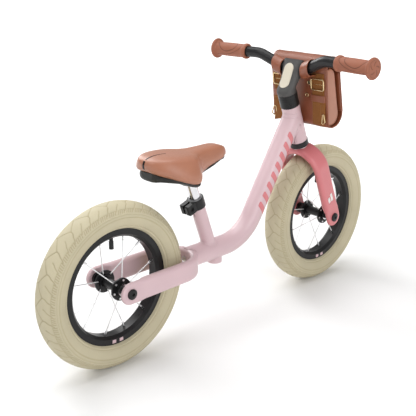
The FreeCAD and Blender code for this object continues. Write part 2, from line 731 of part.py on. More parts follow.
def fork():
    crown_centre = CROWN_TOP - STAY_SPREAD - STAY_THICK / 2
    shape = u_frame(crown_centre)
    shape.Placement = FreeCAD.Placement(steer_point(crown_centre), FreeCAD.Rotation(V(1, 0, 0), STEER_UP))
    shape = shape.cut(rod(STEERER_RADIUS, steer_point(160), steer_point(CROWN_TOP + 5)))
    return largest_solid(shape.cut(rod(RACE_RADIUS, steer_point(RACE_BOTTOM), steer_point(CROWN_TOP + 5))))


def steerer_collar():
    return sleeve(CUP_RADIUS, STEERER_RADIUS, steer_point(COLLAR_BOTTOM), steer_point(COLLAR_TOP))


# Handlebar.

def bar_path():
    """Axis of the handlebar from the right end to the left end."""
    points = [V(BAR_END.x, -BAR_END.y, BAR_END.z), V(BAR_RISE_END.x, -BAR_RISE_END.y, BAR_RISE_END.z)]
    points.append(V(BAR_CENTRE_X, -BAR_FLAT_HALF, BAR_CENTRE_Z))
    points.append(V(BAR_CENTRE_X, BAR_FLAT_HALF, BAR_CENTRE_Z))
    return rounded_wire(points + [BAR_RISE_END, BAR_END], BAR_BEND_RADIUS)


def bar_solid():
    return sweep(bar_path(), BAR_RADIUS)


def handlebar():
    return bar_solid().cut(sweep(bar_path(), BAR_RADIUS - BAR_WALL))


def grip_axis():
    """Inner start and outward direction of the left grip."""
    direction = (BAR_END - BAR_RISE_END).normalize()
    start = BAR_RISE_END + direction * ((GRIP_INNER - BAR_RISE_END.y) / direction.y)
    return start, direction


def grip(mirror):
    """Rubber grip with a small inner flange and a wide outer flange."""
    start, direction = grip_axis()
    end = start + direction * GRIP_LENGTH
    body = rod(GRIP_RADIUS, start, end)
    inner_flange = rod(GRIP_INNER_FLANGE_RADIUS, start, start + direction * 4)
    outer_flange = rod(GRIP_OUTER_FLANGE_RADIUS, end - direction * 6, end)
    shape = fuse_all([body, inner_flange, outer_flange])
    shape = shape.cut(rod(BAR_RADIUS, start - direction, BAR_END))
    return mirrored(shape) if mirror else shape


def stem_body():
    """Stem from the collar up and forward to the handlebar."""
    sections = [
        oval_wire(steer_point(STEM_BOTTOM), SIDE, STEER_FORWARD, STEM_RADIUS, STEM_RADIUS),
        oval_wire(steer_point(STEM_BOTTOM + 8), SIDE, STEER_FORWARD, STEM_RADIUS, STEM_RADIUS),
    ]
    for x, z, nod, half_across, half_along, squareness in STEM_SECTIONS:
        along = V(math.cos(nod), 0, math.sin(nod))
        sections.append(oval_wire(V(x, 0, z), SIDE, along, half_across, half_along, squareness))
    return Part.makeLoft(sections, True, False)


def stem():
    body = stem_body().cut(bar_solid())
    quill_room = rod(QUILL_RADIUS, steer_point(STEM_BOTTOM - 5), steer_point(STEM_BOTTOM + QUILL_SOCKET))
    return largest_solid(body.cut(quill_room))


def stem_badge(body):
    """Pill-shaped plate, slightly proud of the stem's rear face."""
    low = BADGE_LOW
    high = BADGE_HIGH
    length = (high - low).Length
    along = (high - low).normalize()
    outward = along.cross(SIDE)
    half_width = BADGE_HALF_WIDTH
    depth = 14.0
    reach = depth + 10.0
    parts = [rod(half_width, end - outward * depth, end + outward * 10) for end in (low, high)]
    corner = low - outward * depth - SIDE * half_width
    across_bar = SIDE * (2 * half_width)
    rise = along * length
    bar = polygon_face([corner, corner + across_bar, corner + across_bar + rise, corner + rise])
    parts.append(bar.extrude(outward * reach))
    proud = body.copy()
    proud.translate(outward * BADGE_PROUD)
    return largest_solid(fuse_all(parts).common(proud).cut(body))


def quill_wedge_plane(offset):
    """Large block whose lower face is the slanted joint between the quill and its wedge."""
    block = Part.makeBox(80, 80, 200, V(-40, -40, 0))
    block.rotate(V(0, 0, 0), SIDE, 30)
    block.Placement = FreeCAD.Placement(
        steer_point(QUILL_BOTTOM + 14 + offset), FreeCAD.Rotation(V(0, 0, 1), STEER_UP)).multiply(block.Placement)
    return block


def quill():
    tube = sleeve(QUILL_RADIUS, 7.0, steer_point(QUILL_BOTTOM), steer_point(STEM_BOTTOM + QUILL_SOCKET))
    return largest_solid(tube.common(quill_wedge_plane(0.1)))


def quill_wedge():
    """Expander wedge with its long bolt."""
    wedge = rod(QUILL_RADIUS, steer_point(QUILL_BOTTOM), steer_point(QUILL_BOTTOM + 40))
    wedge = wedge.cut(quill_wedge_plane(-0.1))
    bolt = rod(3.8, steer_point(QUILL_BOTTOM + 2), steer_point(STEM_BOTTOM + 21))
    return fuse_all([largest_solid(wedge), bolt])


# Bag.

def bag_arc(start, middle, end):
    """Arc through three (forward, up) points of the bag's section."""
    return Part.Arc(bag_point(*start), bag_point(*middle), bag_point(*end)).toShape()


def bag_line(start, end):
    return Part.makeLine(bag_point(*start), bag_point(*end))


def bag_section(inset, rise):
    """Bag body's section: flat back, round bottom, leaning front, closed across the top."""
    back_top = (inset, BAG_BACK_TOP + rise)
    back_low = (inset, 10.0)
    bottom = (20.0, -5.5 + inset)
    front_low = (46.5 - inset, 24.0)
    front_top = (40.5 - inset, BAG_FRONT_TOP + rise)
    back_turn = (4.5 + inset * 0.7, -0.9 + inset * 0.7)
    front_turn = (38.5 - inset * 0.7, 2.2 + inset * 0.7)
    edges = [
        bag_line(back_top, back_low),
        bag_arc(back_low, back_turn, bottom),
        bag_arc(bottom, front_turn, front_low),
        bag_line(front_low, front_top),
        bag_line(front_top, back_top),
    ]
    return face_of(edges)


def across(face, half_width):
    """Extrude a section symmetrically across the bike."""
    shape = face.copy()
    shape.translate(SIDE * -half_width)
    return shape.extrude(SIDE * (2 * half_width))


def circle_point(centre, radius, angle):
    """Point (forward, up) on a circle, angle from forwards towards up."""
    return (centre[0] + radius * math.cos(angle), centre[1] + radius * math.sin(angle))


def circle_arc(centre, radius, start, end):
    """Arc of a circle in the bag's section between two angles."""
    angles = (start, (start + end) / 2, end)
    return bag_arc(*[circle_point(centre, radius, angle) for angle in angles])


def top_band(start, end):
    """Section of the leather over the bag's round top between two angles."""
    inner_radius = BAG_TOP_RADIUS - BAG_SHEET
    edges = [circle_arc(BAG_TOP_CENTRE, radius, start, end) for radius in (inner_radius, BAG_TOP_RADIUS)]
    for angle in (start, end):
        inner = circle_point(BAG_TOP_CENTRE, inner_radius, angle)
        edges.append(bag_line(inner, circle_point(BAG_TOP_CENTRE, BAG_TOP_RADIUS, angle)))
    return face_of(edges)


def fold_rod(radius, half_width):
    """Cylinder round the fold line, the flap's hinge axis."""
    forward, up = circle_point(BAG_TOP_CENTRE, BAG_TOP_RADIUS - BAG_SHEET / 2, FOLD_ANGLE)
    return rod(radius, bag_point(forward, up, -half_width), bag_point(forward, up, half_width))


def bag_shell():
    """Back, bottom and front in one bent sheet, the back carried over the top to the fold line."""
    outer = across(bag_section(0.0, 0.0), BAG_HALF_WIDTH)
    sheet = outer.cut(across(bag_section(BAG_SHEET, 8.0), BAG_HALF_WIDTH + 1))
    top = across(top_band(FOLD_ANGLE, BACK_JOIN_ANGLE), BAG_HALF_WIDTH)
    return fuse_all([sheet, top]).cut(fold_rod(BAG_SHEET / 2 + FOLD_CLEARANCE, BAG_HALF_WIDTH + 1))


def bag_gussets():
    """Two side panels set in from the sheet's edges."""
    panel = bag_section(BAG_SHEET, -6.0).extrude(SIDE * BAG_SHEET)
    panel.translate(SIDE * (BAG_HALF_WIDTH - GUSSET_RECESS - BAG_SHEET))
    return both_sides(panel)


def bag_flap():
    """Flap from the fold line over the top and down the front, with a rounded edge on the fold."""
    thick = BAG_SHEET
    half_width = BAG_HALF_WIDTH + FLAP_OVERHANG
    top_end = circle_point(BAG_TOP_CENTRE, BAG_TOP_RADIUS, FLAP_FRONT_ANGLE)
    inner_end = circle_point(BAG_TOP_CENTRE, BAG_TOP_RADIUS - thick, FLAP_FRONT_ANGLE)
    inner_hem = (FLAP_HEM[0] - thick, FLAP_HEM[1])
    front = polygon_face([bag_point(*end) for end in (top_end, FLAP_HEM, inner_hem, inner_end)])
    pieces = [across(top_band(FOLD_ANGLE, FLAP_FRONT_ANGLE), half_width), across(front, half_width)]
    return fuse_all(pieces + [fold_rod(thick / 2, half_width)])


def flap_tab():
    """Leather tab down the middle of the flap's front."""
    edges = [(50.4, 62.0), (52.4, 62.0), (54.4, 30.0), (54.4, 10.0), (52.4, 10.0), (52.4, 30.0)]
    face = polygon_face([bag_point(forward, up) for forward, up in edges])
    return across(face, TAB_HALF_WIDTH)


def flap_stud():
    """Brass stud that holds the tab."""
    return rod(STUD_RADIUS, bag_point(53.0, STUD_UP), bag_point(57.0, STUD_UP)).cut(flap_tab())


def loop_section(centre, radius, front):
    """Hanging loop: round over the handlebar, slack below it, flat against the back panel."""
    low_centre = (centre[0], centre[1] - LOOP_SLACK)
    start = math.acos((front - centre[0]) / radius)
    foot = (front, low_centre[1] - radius)
    return face_of([
        circle_arc(centre, radius, start, math.pi),
        bag_line(circle_point(centre, radius, math.pi), circle_point(low_centre, radius, math.pi)),
        circle_arc(low_centre, radius, math.pi, 1.5 * math.pi),
        bag_line(circle_point(low_centre, radius, 1.5 * math.pi), foot),
        bag_line(foot, circle_point(centre, radius, start)),
    ])


def bag_loops():
    """Two leather loops that hang the bag on the handlebar."""
    slope = (BAR_RISE_END.z - BAR_CENTRE_Z) / (BAR_RISE_END.y - BAR_FLAT_HALF)
    middle = (LOOP_INNER + LOOP_OUTER) / 2
    bar = V(BAR_CENTRE_X - 1.5, 0, BAR_CENTRE_Z + slope * (middle - BAR_FLAT_HALF) * 0.9) - BAG_BACK_BOTTOM
    centre = (bar.dot(BAG_FORWARD), bar.dot(BAG_UP))
    outer = loop_section(centre, BAR_RADIUS + LOOP_THICKNESS + 0.6, 0.0)
    inner = loop_section(centre, BAR_RADIUS + 0.6, -LOOP_THICKNESS)
    width = SIDE * (LOOP_OUTER - LOOP_INNER)
    band = outer.extrude(width).cut(inner.extrude(width))
    band.translate(SIDE * LOOP_INNER)
    strap_room = bag_block((-STRAP_THICKNESS - 0.05, 0), (0, STRAP_TOP + 2), strap_sides(0.1))
    return both_sides(largest_solid(band.cut(bar_solid()).cut(strap_room).cut(bag_shell())))


def bag_block(forward, up, side):
    """Box in the bag's directions; each argument is a (low, high) pair."""
    face = polygon_face([
        bag_point(forward[0], up[0], side[0]),
        bag_point(forward[1], up[0], side[0]),
        bag_point(forward[1], up[1], side[0]),
        bag_point(forward[0], up[1], side[0]),
    ])
    return face.extrude(SIDE * (side[1] - side[0]))


def strap_sides(extra=0.0):
    """Low and high side position of the left strap."""
    return (STRAP_CENTRE - STRAP_HALF_WIDTH - extra, STRAP_CENTRE + STRAP_HALF_WIDTH + extra)


def bag_straps():
    """Webbing on the back panel, two pieces."""
    strap = bag_block((-STRAP_THICKNESS, 0), (STRAP_BOTTOM, STRAP_TOP), strap_sides())
    return both_sides(strap)


def bag_buckles():
    """Rectangular brass slides on the webbing."""
    low = -STRAP_THICKNESS - BUCKLE_DEPTH
    frame = bag_block((low, -STRAP_THICKNESS), (BUCKLE_BOTTOM, BUCKLE_TOP), strap_sides(1.0))
    window_up = (BUCKLE_BOTTOM + BUCKLE_BAR, BUCKLE_TOP - BUCKLE_BAR)
    window = bag_block((low - 1, 0), window_up, strap_sides(-0.8))
    return both_sides(frame.cut(window))


def bag_keepers():
    """Leather keepers below the buckles."""
    low = -STRAP_THICKNESS - KEEPER_THICKNESS
    outer = bag_block((low, 0), (KEEPER_BOTTOM, KEEPER_TOP), strap_sides(3.0))
    strap_room = bag_block((-STRAP_THICKNESS, 1), (KEEPER_BOTTOM - 6, KEEPER_TOP + 6), strap_sides())
    return both_sides(outer.cut(strap_room))


def bag_hooks():
    """Triangular brass wire hooks at the straps' lower ends."""
    corners = [bag_point(*corner) for corner in HOOK_CORNERS]
    bars = []
    for start, end in zip(corners, corners[1:] + corners[:1]):
        bars.append(rod(HOOK_WIRE_RADIUS, start, end))
        bars.append(Part.makeSphere(HOOK_WIRE_RADIUS, start))
    return both_sides(fuse_all(bars))


def bag_eyelets():
    """Brass eyelets in the back panel beside the straps."""
    rings = []
    for up, side in EYELETS:
        back = bag_point(-EYELET_PROUD, up, side)
        rings.append(sleeve(EYELET_RADIUS, EYELET_BORE_RADIUS, back, bag_point(0, up, side)))
    return Part.makeCompound(rings + [mirrored(ring) for ring in rings])


# Saddle.

COVER_STATIONS = (
    # x, half width, top, bottom
    (-213.0, 13.0, 364.0, 351.0),
    (-208.0, 26.0, 370.0, 347.0),
    (-198.0, 39.0, 373.0, 343.5),
    (-182.0, 52.0, 373.0, 335.0),
    (-163.0, 60.0, 372.0, 327.0),
    (-146.0, 63.5, 371.0, 319.0),
    (-131.0, 62.5, 370.0, 315.0),
    (-120.0, 55.0, 369.5, 315.5),
    (-110.0, 44.0, 369.0, 319.0),
    (-97.0, 33.0, 369.0, 325.0),
    (-75.0, 26.5, 369.0, 332.0),
    (-50.0, 24.0, 370.0, 338.0),
    (-30.0, 21.5, 369.0, 342.5),
    (-18.0, 17.0, 365.0, 346.0),
    (-12.0, 10.0, 360.0, 350.0),
)
BASE_STATIONS = (
    (-206.0, 14.0, 352.0, 335.0),
    (-197.0, 30.0, 348.0, 329.0),
    (-183.0, 43.0, 345.0, 327.5),
    (-165.0, 52.0, 340.0, 324.0),
    (-147.0, 56.0, 334.0, 317.5),
    (-131.0, 56.0, 330.0, 311.0),
    (-120.0, 50.0, 328.0, 310.5),
    (-110.0, 38.0, 330.0, 313.0),
    (-98.0, 28.0, 335.0, 321.0),
    (-75.0, 23.0, 340.0, 328.0),
    (-50.0, 20.5, 345.0, 334.5),
    (-30.0, 17.0, 348.0, 339.5),
    (-20.0, 12.0, 350.0, 343.0),
)
# Where each section is widest, as a share of its height.
COVER_WIDEST = 0.25
BASE_WIDEST = 0.42
BRACKET_RADIUS = 17.0
BRACKET_BELOW = 15.0
BRACKET_ABOVE = 1.5
POST_WALL = 1.6


def saddle_section(x, half_width, top, bottom, widest):
    """Crowned section, widest low down, nearly flat below."""
    middle = bottom + (top - bottom) * widest
    points = []
    count = 16
    for index in range(count):
        angle = 2 * math.pi * index / count
        cosine = math.cos(angle)
        sine = math.sin(angle)
        y = math.copysign(abs(cosine) ** 0.7, cosine) * half_width
        rise = top - middle if sine >= 0 else middle - bottom
        z = middle + math.copysign(abs(sine) ** 0.8, sine) * rise
        points.append(V(x, y, z))
    curve = Part.BSplineCurve()
    curve.interpolate(Points=points, PeriodicFlag=True)
    return Part.Wire(curve.toShape())


def saddle_loft(stations, widest):
    return Part.makeLoft([saddle_section(*station, widest) for station in stations], True, False)


def saddle_cover():
    """Padded cover, with a pocket below for the bracket."""
    return largest_solid(saddle_loft(COVER_STATIONS, COVER_WIDEST).cut(bracket_solid()))


def saddle_base():
    """Plastic base below the cover."""
    base = saddle_loft(BASE_STATIONS, BASE_WIDEST).cut(saddle_loft(COVER_STATIONS, COVER_WIDEST))
    return largest_solid(base.cut(bracket_solid()))


def bracket_solid():
    """Bracket outline round the post's top, without the bore."""
    return rod(BRACKET_RADIUS, seat_point(POST_TOP - BRACKET_BELOW), seat_point(POST_TOP + BRACKET_ABOVE))


def saddle_bracket():
    return bracket_solid().cut(rod(SEAT_POST_RADIUS, seat_point(POST_TOP - 30), seat_point(POST_TOP - 0.5)))


def seat_post():
    """Chromed tube, open below, closed on top."""
    post = rod(SEAT_POST_RADIUS, seat_point(2), seat_point(POST_TOP - 0.5))
    return post.cut(rod(SEAT_POST_RADIUS - POST_WALL, seat_point(0), seat_point(POST_TOP - 4)))


# Output.

def wheel_nodes():
    """The wheel's pieces, made once and placed at both axles."""
    makers = {
        "tyre": tyre, "inner_tube": inner_tube, "rim": rim, "spokes": spokes, "nipples": nipples,
        "hub": hub, "hub_bearings": hub_bearings, "valve": valve,
    }
    nodes = {}
    for name, maker in makers.items():
        shape = maker()
        for prefix, sign in (("front", 1), ("rear", -1)):
            placed = shape.copy()
            placed.translate(axle_point(sign))
            nodes[prefix + "_" + name] = placed
    return nodes


def axle_nodes():
    nodes = {}
    for prefix, sign in (("front", 1), ("rear", -1)):
        nodes[prefix + "_axle"] = axle(sign)
        nodes[prefix + "_axle_bolts"] = axle_bolts(sign)
        nodes[prefix + "_axle_spacers"] = axle_spacers(sign)
    return nodes


def frame_nodes():
    return {
        "head_tube": head_tube(),
        "main_tube": main_tube(),
        "seat_tube": seat_tube(),
        "rear_stays": rear_stays(),
        "accessory_boss": accessory_boss(),
        "bridge_bolt": bridge_bolt(),
        "headset_lower_cup": headset_cup(LOWER_CUP_BOTTOM, HEAD_BOTTOM, HEAD_BOTTOM + 10, 9.1),
        "headset_upper_cup": headset_cup(UPPER_CUP_TOP, HEAD_TOP, HEAD_TOP - 10, 8.9).cut(limiter_screw()),
        "headset_bearings": headset_bearings(),
        "limiter_screw": limiter_screw(),
        "seat_shim": seat_shim(),
        "seat_clamp": seat_clamp(),
        "seat_clamp_bolt": seat_clamp_bolt(),
    }


def steering_nodes():
    return {
        "fork": fork(),
        "fork_steerer": steerer(),
        "steerer_collar": steerer_collar(),
        "stem": stem(),
        "stem_badge": stem_badge(stem_body()),
        "quill": quill(),
        "quill_wedge": quill_wedge(),
        "handlebar": handlebar(),
        "grip_left": grip(False),
        "grip_right": grip(True),
    }


def bag_nodes():
    return {
        "bag_shell": bag_shell(),
        "bag_gussets": bag_gussets(),
        "bag_loops": bag_loops(),
        "bag_straps": bag_straps(),
        "bag_buckles": bag_buckles(),
        "bag_keepers": bag_keepers(),
        "bag_hooks": bag_hooks(),
        "bag_eyelets": bag_eyelets(),
        "bag_flap": bag_flap(),
        "flap_tab": flap_tab(),
        "flap_stud": flap_stud(),
    }


def saddle_nodes():
    return {
        "seat_post": seat_post(),
        "saddle_base": saddle_base(),
        "saddle_cover": saddle_cover(),
        "saddle_bracket": saddle_bracket(),
    }


def build():
    os.makedirs("parts", exist_ok=True)
    nodes = {}
    for group in (frame_nodes, axle_nodes, steering_nodes, bag_nodes, saddle_nodes, wheel_nodes):
        nodes.update(group())
    for name, shape in nodes.items():
        problem = "" if shape.isValid() and shape.Solids else "  INVALID"
        print(name, len(shape.Solids), round(shape.Volume, 1), problem)
        shape.exportStep("parts/" + name + ".step")
    print(len(nodes), "nodes")


build()
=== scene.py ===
"""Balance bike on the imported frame: finished shapes and materials.

+X is the riding direction, +Y the rider's left, +Z up. Shapes are worked out in millimetres;
new_object turns them into metres.
"""

import json
import math

import bmesh
import bpy
import numpy as np
from mathutils import Matrix, Vector
from mathutils.bvhtree import BVHTree


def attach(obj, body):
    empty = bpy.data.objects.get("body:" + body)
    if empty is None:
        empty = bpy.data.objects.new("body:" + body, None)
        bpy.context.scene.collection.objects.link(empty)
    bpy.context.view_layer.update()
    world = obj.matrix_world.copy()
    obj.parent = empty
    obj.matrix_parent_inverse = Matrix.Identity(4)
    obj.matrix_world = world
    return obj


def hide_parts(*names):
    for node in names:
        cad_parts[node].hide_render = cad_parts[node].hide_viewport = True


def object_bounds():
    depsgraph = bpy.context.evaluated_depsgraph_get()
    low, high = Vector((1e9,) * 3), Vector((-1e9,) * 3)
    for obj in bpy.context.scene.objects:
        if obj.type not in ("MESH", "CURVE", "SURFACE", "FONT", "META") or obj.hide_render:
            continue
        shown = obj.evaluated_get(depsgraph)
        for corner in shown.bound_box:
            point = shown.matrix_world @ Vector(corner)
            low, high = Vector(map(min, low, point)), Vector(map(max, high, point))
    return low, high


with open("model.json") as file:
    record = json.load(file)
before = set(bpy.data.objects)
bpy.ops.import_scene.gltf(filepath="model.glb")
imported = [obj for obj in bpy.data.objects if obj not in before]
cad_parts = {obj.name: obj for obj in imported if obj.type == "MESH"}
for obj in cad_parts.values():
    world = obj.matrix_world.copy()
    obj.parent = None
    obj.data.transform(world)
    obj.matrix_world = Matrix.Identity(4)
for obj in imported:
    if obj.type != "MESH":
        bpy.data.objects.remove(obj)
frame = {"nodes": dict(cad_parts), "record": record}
cad_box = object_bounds()
record = frame["record"]
joints = {joint["name"]: joint for joint in record["behaviour"]["joints"]}

MM = 0.001
TAU = 2 * math.pi


def millimetres(metres):
    return np.array(metres, float) / MM


def at_angle(angle):
    return np.array([math.cos(angle), math.sin(angle)])


# Places from the frame.
FRONT_AXLE = millimetres(joints["front_wheel_spin"]["pos_m"])
REAR_AXLE = millimetres(joints["rear_wheel_spin"]["pos_m"])
STEER_UP = np.array(joints["steering"]["axis"])
SEAT_UP = np.array(joints["seat_height"]["axis"])
FLAP_HINGE = millimetres(joints["bag_flap_hinge"]["pos_m"])
FORWARD = np.array([1.0, 0.0, 0.0])
SIDE = np.array([0.0, 1.0, 0.0])
UP = np.array([0.0, 0.0, 1.0])

# Tyre and rim, radii from the axle.
TYRE_RADIUS = 155.0
TYRE_HALF_WIDTH = 26.8
TYRE_WIDEST_RADIUS = 135.7
SIDEWALL_DROP = 32.6
RIM_EDGE_RADIUS = 108.6
RIM_HALF_WIDTH = 15.0
# Rings round the sidewall: radius, half width, rise (a groove where it is negative).
SIDEWALL_RINGS = (
    (112.2, 1.0, 0.9),
    (114.4, 0.7, -0.5),
    (131.0, 0.7, -0.9),
    (138.8, 1.5, 0.8),
    (136.6, 0.7, -0.6),
)
# Fine ribs beside the rim.
RIB_RADIUS = 117.0
RIB_REACH = 2.6
RIB_RISE = 0.3
# Lengths of the tread pattern are measured at this radius.
TREAD_SCALE_RADIUS = 150.0
TREAD_PITCHES = 24
COLUMNS_PER_PITCH = 48

# Tubes.
MAIN_TUBE_RADIUS = 20.6
MAIN_TUBE_AXIS_Z = 155.5
MAIN_TUBE_CORNER = np.array([46.4, 0.0, 155.5])
MAIN_TUBE_SLOPE = math.radians(57.3)
MAIN_TUBE_ALONG = np.array([math.cos(MAIN_TUBE_SLOPE), 0.0, math.sin(MAIN_TUBE_SLOPE)])
MAIN_TUBE_UPPER = np.array([-math.sin(MAIN_TUBE_SLOPE), 0.0, math.cos(MAIN_TUBE_SLOPE)])
SEAT_TUBE_RADIUS = 14.0
SEAT_FOOT = np.array([-44.8, 0.0, 155.5])
STAY_SPREAD = 47.0
STAY_TALL = 41.0
STAY_THICK = 16.0
STAY_AXLE_DISTANCE = 135.0
FORK_BRIDGE = 126.0
# The flattened tube thins on its inner side to the plate at the axle, over this distance from the axle.
PLATE_THINNING = 7.0
PLATE_END = 34.0
BOSS_RADIUS = 14.5
BOSS_CENTRE = np.array([-33.0, 0.0, 128.0])
CUP_RADIUS = 20.2
LIMITER_HEIGHT = 287.0
LIMITER_TURN = math.radians(48.0)

# Slanted bars on the main tube: lengths along it, and degrees round it from its upper side.
MARK_COUNT = 8
MARK_START = 66.0
MARK_WIDTH = 12.0
MARK_PITCH = 22.5
MARK_LEAN = 6.0
MARK_LOW = 56.0
MARK_HIGH = 122.0
MARK_LIFT = 0.22
MARK_THICKNESS = 0.4

# Handlebar and grips.
BAR_RADIUS = 11.1
BAR_CENTRE = np.array([196.0, 27.0, 488.5])
BAR_RISE_END = np.array([185.5, 84.0, 513.0])
BAR_END = np.array([177.2, 204.0, 512.3])
BAR_BEND_RADIUS = 45.0
GRIP_INNER = 117.5
GRIP_RADIUS = 14.2
# Along the grip from its inner end: the grooved stretch and the face of the end cap.
GROOVED_FROM = 10.0
GROOVED_TO = 79.0
CAP_FACE = 88.0
# Radii on the cap, and the depth of the grooves.
CAP_RING_RADIUS = 16.6
ROSETTE_FROM = 5.0
ROSETTE_TO = 14.6
GRIP_GROOVE = 0.75
CAP_GROOVE = 0.5

# Bag, in its own forward and up directions.
BAG_TILT = math.radians(7.0)
BAG_FORWARD = np.array([math.cos(BAG_TILT), 0.0, math.sin(BAG_TILT)])
BAG_UP = np.array([-math.sin(BAG_TILT), 0.0, math.cos(BAG_TILT)])
BAG_HALF_WIDTH = 73.5
BAG_SHEET = 2.5
BAG_TOP_CENTRE = np.array([22.4, 119.8])
BAG_TOP_RADIUS = 23.1
FOLD_ANGLE = math.radians(115.0)
FLAP_FRONT_ANGLE = math.radians(-21.0)
FLAP_HEM = (50.2, 24.0)
STRAP_CENTRE = 50.5
STRAP_HALF_WIDTH = 15.5
STRAP_END = 2.5
LOOP_INNER = 25.5
LOOP_OUTER = 47.0
LOOP_THICKNESS = 2.2
LOOP_SLACK = 3.5
GUSSET_RECESS = 4.0
STITCH_SINK = 0.05
WEB_THICKNESS = 1.5
TAIL_CENTRE = 62.5
FOLD = BAG_TOP_CENTRE + (BAG_TOP_RADIUS - BAG_SHEET / 2) * at_angle(FOLD_ANGLE)
BAG_ORIGIN = FLAP_HINGE - BAG_FORWARD * FOLD[0] - BAG_UP * FOLD[1]


# Curves and grids.

def unit(vectors):
    vectors = np.asarray(vectors, float)
    return vectors / np.linalg.norm(vectors, axis=-1, keepdims=True)


def tangents(path, closed=False):
    if closed:
        return unit(np.roll(path, -1, 0) - np.roll(path, 1, 0))
    return unit(np.gradient(path, axis=0))


def resample(path, spacing):
    """The same path with evenly spaced points."""
    path = np.asarray(path, float)
    steps = np.linalg.norm(np.diff(path[:, :3], axis=0), axis=1)
    reach = np.concatenate([[0.0], np.cumsum(steps)])
    count = max(2, round(reach[-1] / spacing) + 1)
    at = np.linspace(0.0, reach[-1], count)
    return np.stack([np.interp(at, reach, column) for column in path.T], 1)


def smooth_curve(points, count, closed=False):
    """Catmull-Rom curve through the points."""
    points = np.asarray(points, float)
    last = len(points) if closed else len(points) - 1
    at = np.linspace(0, last, count, endpoint=not closed)
    start = np.minimum(at.astype(int), last - 1)
    t = (at - start)[:, None]

    def pick(index):
        return points[index % len(points)] if closed else points[np.clip(index, 0, len(points) - 1)]

    p0, p1, p2, p3 = pick(start - 1), pick(start), pick(start + 1), pick(start + 2)
    return 0.5 * (2 * p1 + (p2 - p0) * t + (2 * p0 - 5 * p1 + 4 * p2 - p3) * t ** 2
                  + (3 * p1 - p0 - 3 * p2 + p3) * t ** 3)


def rounded(points, radius, steps=10, closed=False):
    """Straight runs with rounded corners."""
    points = [np.asarray(point, float) for point in points]
    corners = range(len(points)) if closed else range(1, len(points) - 1)
    path = [] if closed else [points[0]]
    for index in corners:
        corner = points[index]
        before = unit(points[index - 1] - corner)
        after = unit(points[(index + 1) % len(points)] - corner)
        half = math.acos(float(np.clip(before @ after, -1, 1))) / 2
        reach = radius / math.tan(half)
        centre = corner + unit(before + after) * (radius / math.sin(half))
        first = corner + before * reach - centre
        second = corner + after * reach - centre
        sweep = math.pi - 2 * half
        for t in np.linspace(0, 1, steps):
            a = math.sin((1 - t) * sweep) / math.sin(sweep)
            b = math.sin(t * sweep) / math.sin(sweep)
            path.append(centre + first * a + second * b)
    if not closed:
        path.append(points[-1])
    return np.array(path)


def arc(centre, radius, start, end, count=16):
    angles = np.linspace(start, end, count)
    return np.stack([centre[0] + radius * np.cos(angles), centre[1] + radius * np.sin(angles)], 1)


def arc_through(first, middle, last, count=12):
    """Circular arc through three points of a plane."""
    (ax, ay), (bx, by), (cx, cy) = first, middle, last
    d = 2 * (ax * (by - cy) + bx * (cy - ay) + cx * (ay - by))
    a, b, c = ax ** 2 + ay ** 2, bx ** 2 + by ** 2, cx ** 2 + cy ** 2
    ux = (a * (by - cy) + b * (cy - ay) + c * (ay - by)) / d
    uy = (a * (cx - bx) + b * (ax - cx) + c * (bx - ax)) / d
    start, through, end = [math.atan2(y - uy, x - ux) for x, y in (first, middle, last)]
    turn = (end - start) % TAU
    if (through - start) % TAU > turn:
        turn -= TAU
    return arc((ux, uy), math.hypot(ax - ux, ay - uy), start, start + turn, count)


def solid(rows, ring=False):
    """Vertices and faces of a skin over closed rows of points, capped at both ends or joined into a ring."""
    points = np.array(rows, float)
    index = np.arange(points.shape[0] * points.shape[1]).reshape(points.shape[:2])
    caps = [] if ring else [index[0].tolist(), index[-1][::-1].tolist()]
    if ring:
        index = np.vstack([index, index[:1]])
    index = np.hstack([index, index[:, :1]])
    quads = np.stack([index[:-1, :-1], index[1:, :-1], index[1:, 1:], index[:-1, 1:]], -1).reshape(-1, 4)
    return points.reshape(-1, 3), quads.tolist() + caps


def merged(parts):
    """One set of vertices and faces from several."""
    vertices, faces, offset = [], [], 0
    for points, polygons in parts:
        vertices.append(np.asarray(points, float))
        faces += [[index + offset for index in polygon] for polygon in polygons]
        offset += len(points)
    return np.concatenate(vertices), faces


def mirrored(part):
    """The same shape on the other side of the bike."""
    points, faces = part
    return points * np.array([1.0, -1.0, 1.0]), [polygon[::-1] for polygon in faces]


def both(part):
    return merged([part, mirrored(part)])


def tube(path, radius, sides=14, closed=False):
    """Round bar along a path, its ends domed."""
    path = np.asarray(path, float)
    along = tangents(path, closed)
    angles = TAU * np.arange(sides) / sides
    reference = unit(np.cross(along[0], (0.31, 0.52, 0.79)))
    rings = []
    for point, tangent in zip(path, along):
        reference = unit(reference - tangent * (reference @ tangent))
        other = np.cross(tangent, reference)
        rings.append(np.outer(np.cos(angles), reference) + np.outer(np.sin(angles), other))
    rings = np.array(rings)
    if closed:
        return solid(path[:, None] + rings * radius, ring=True)
    dome = np.radians([75, 45, 15])
    rings *= radius
    head = [path[0] - along[0] * radius * math.sin(a) + rings[0] * math.cos(a) for a in dome]
    tail = [path[-1] + along[-1] * radius * math.sin(a) + rings[-1] * math.cos(a) for a in dome[::-1]]
    return solid(np.concatenate([head, path[:, None] + rings, tail]))


def lathe(profile, centre, axis, segments=48, closed=False):
    """Solid of revolution; profile holds (radius, distance along the axis)."""
    axis = unit(axis)
    first = unit(np.cross(axis, (0.2, 0.7, 0.4)))
    second = np.cross(axis, first)
    angles = TAU * np.arange(segments) / segments
    ring = np.outer(np.cos(angles), first) + np.outer(np.sin(angles), second)
    rows = [np.asarray(centre) + axis * along + ring * radius for radius, along in profile]
    return solid(rows, ring=closed)


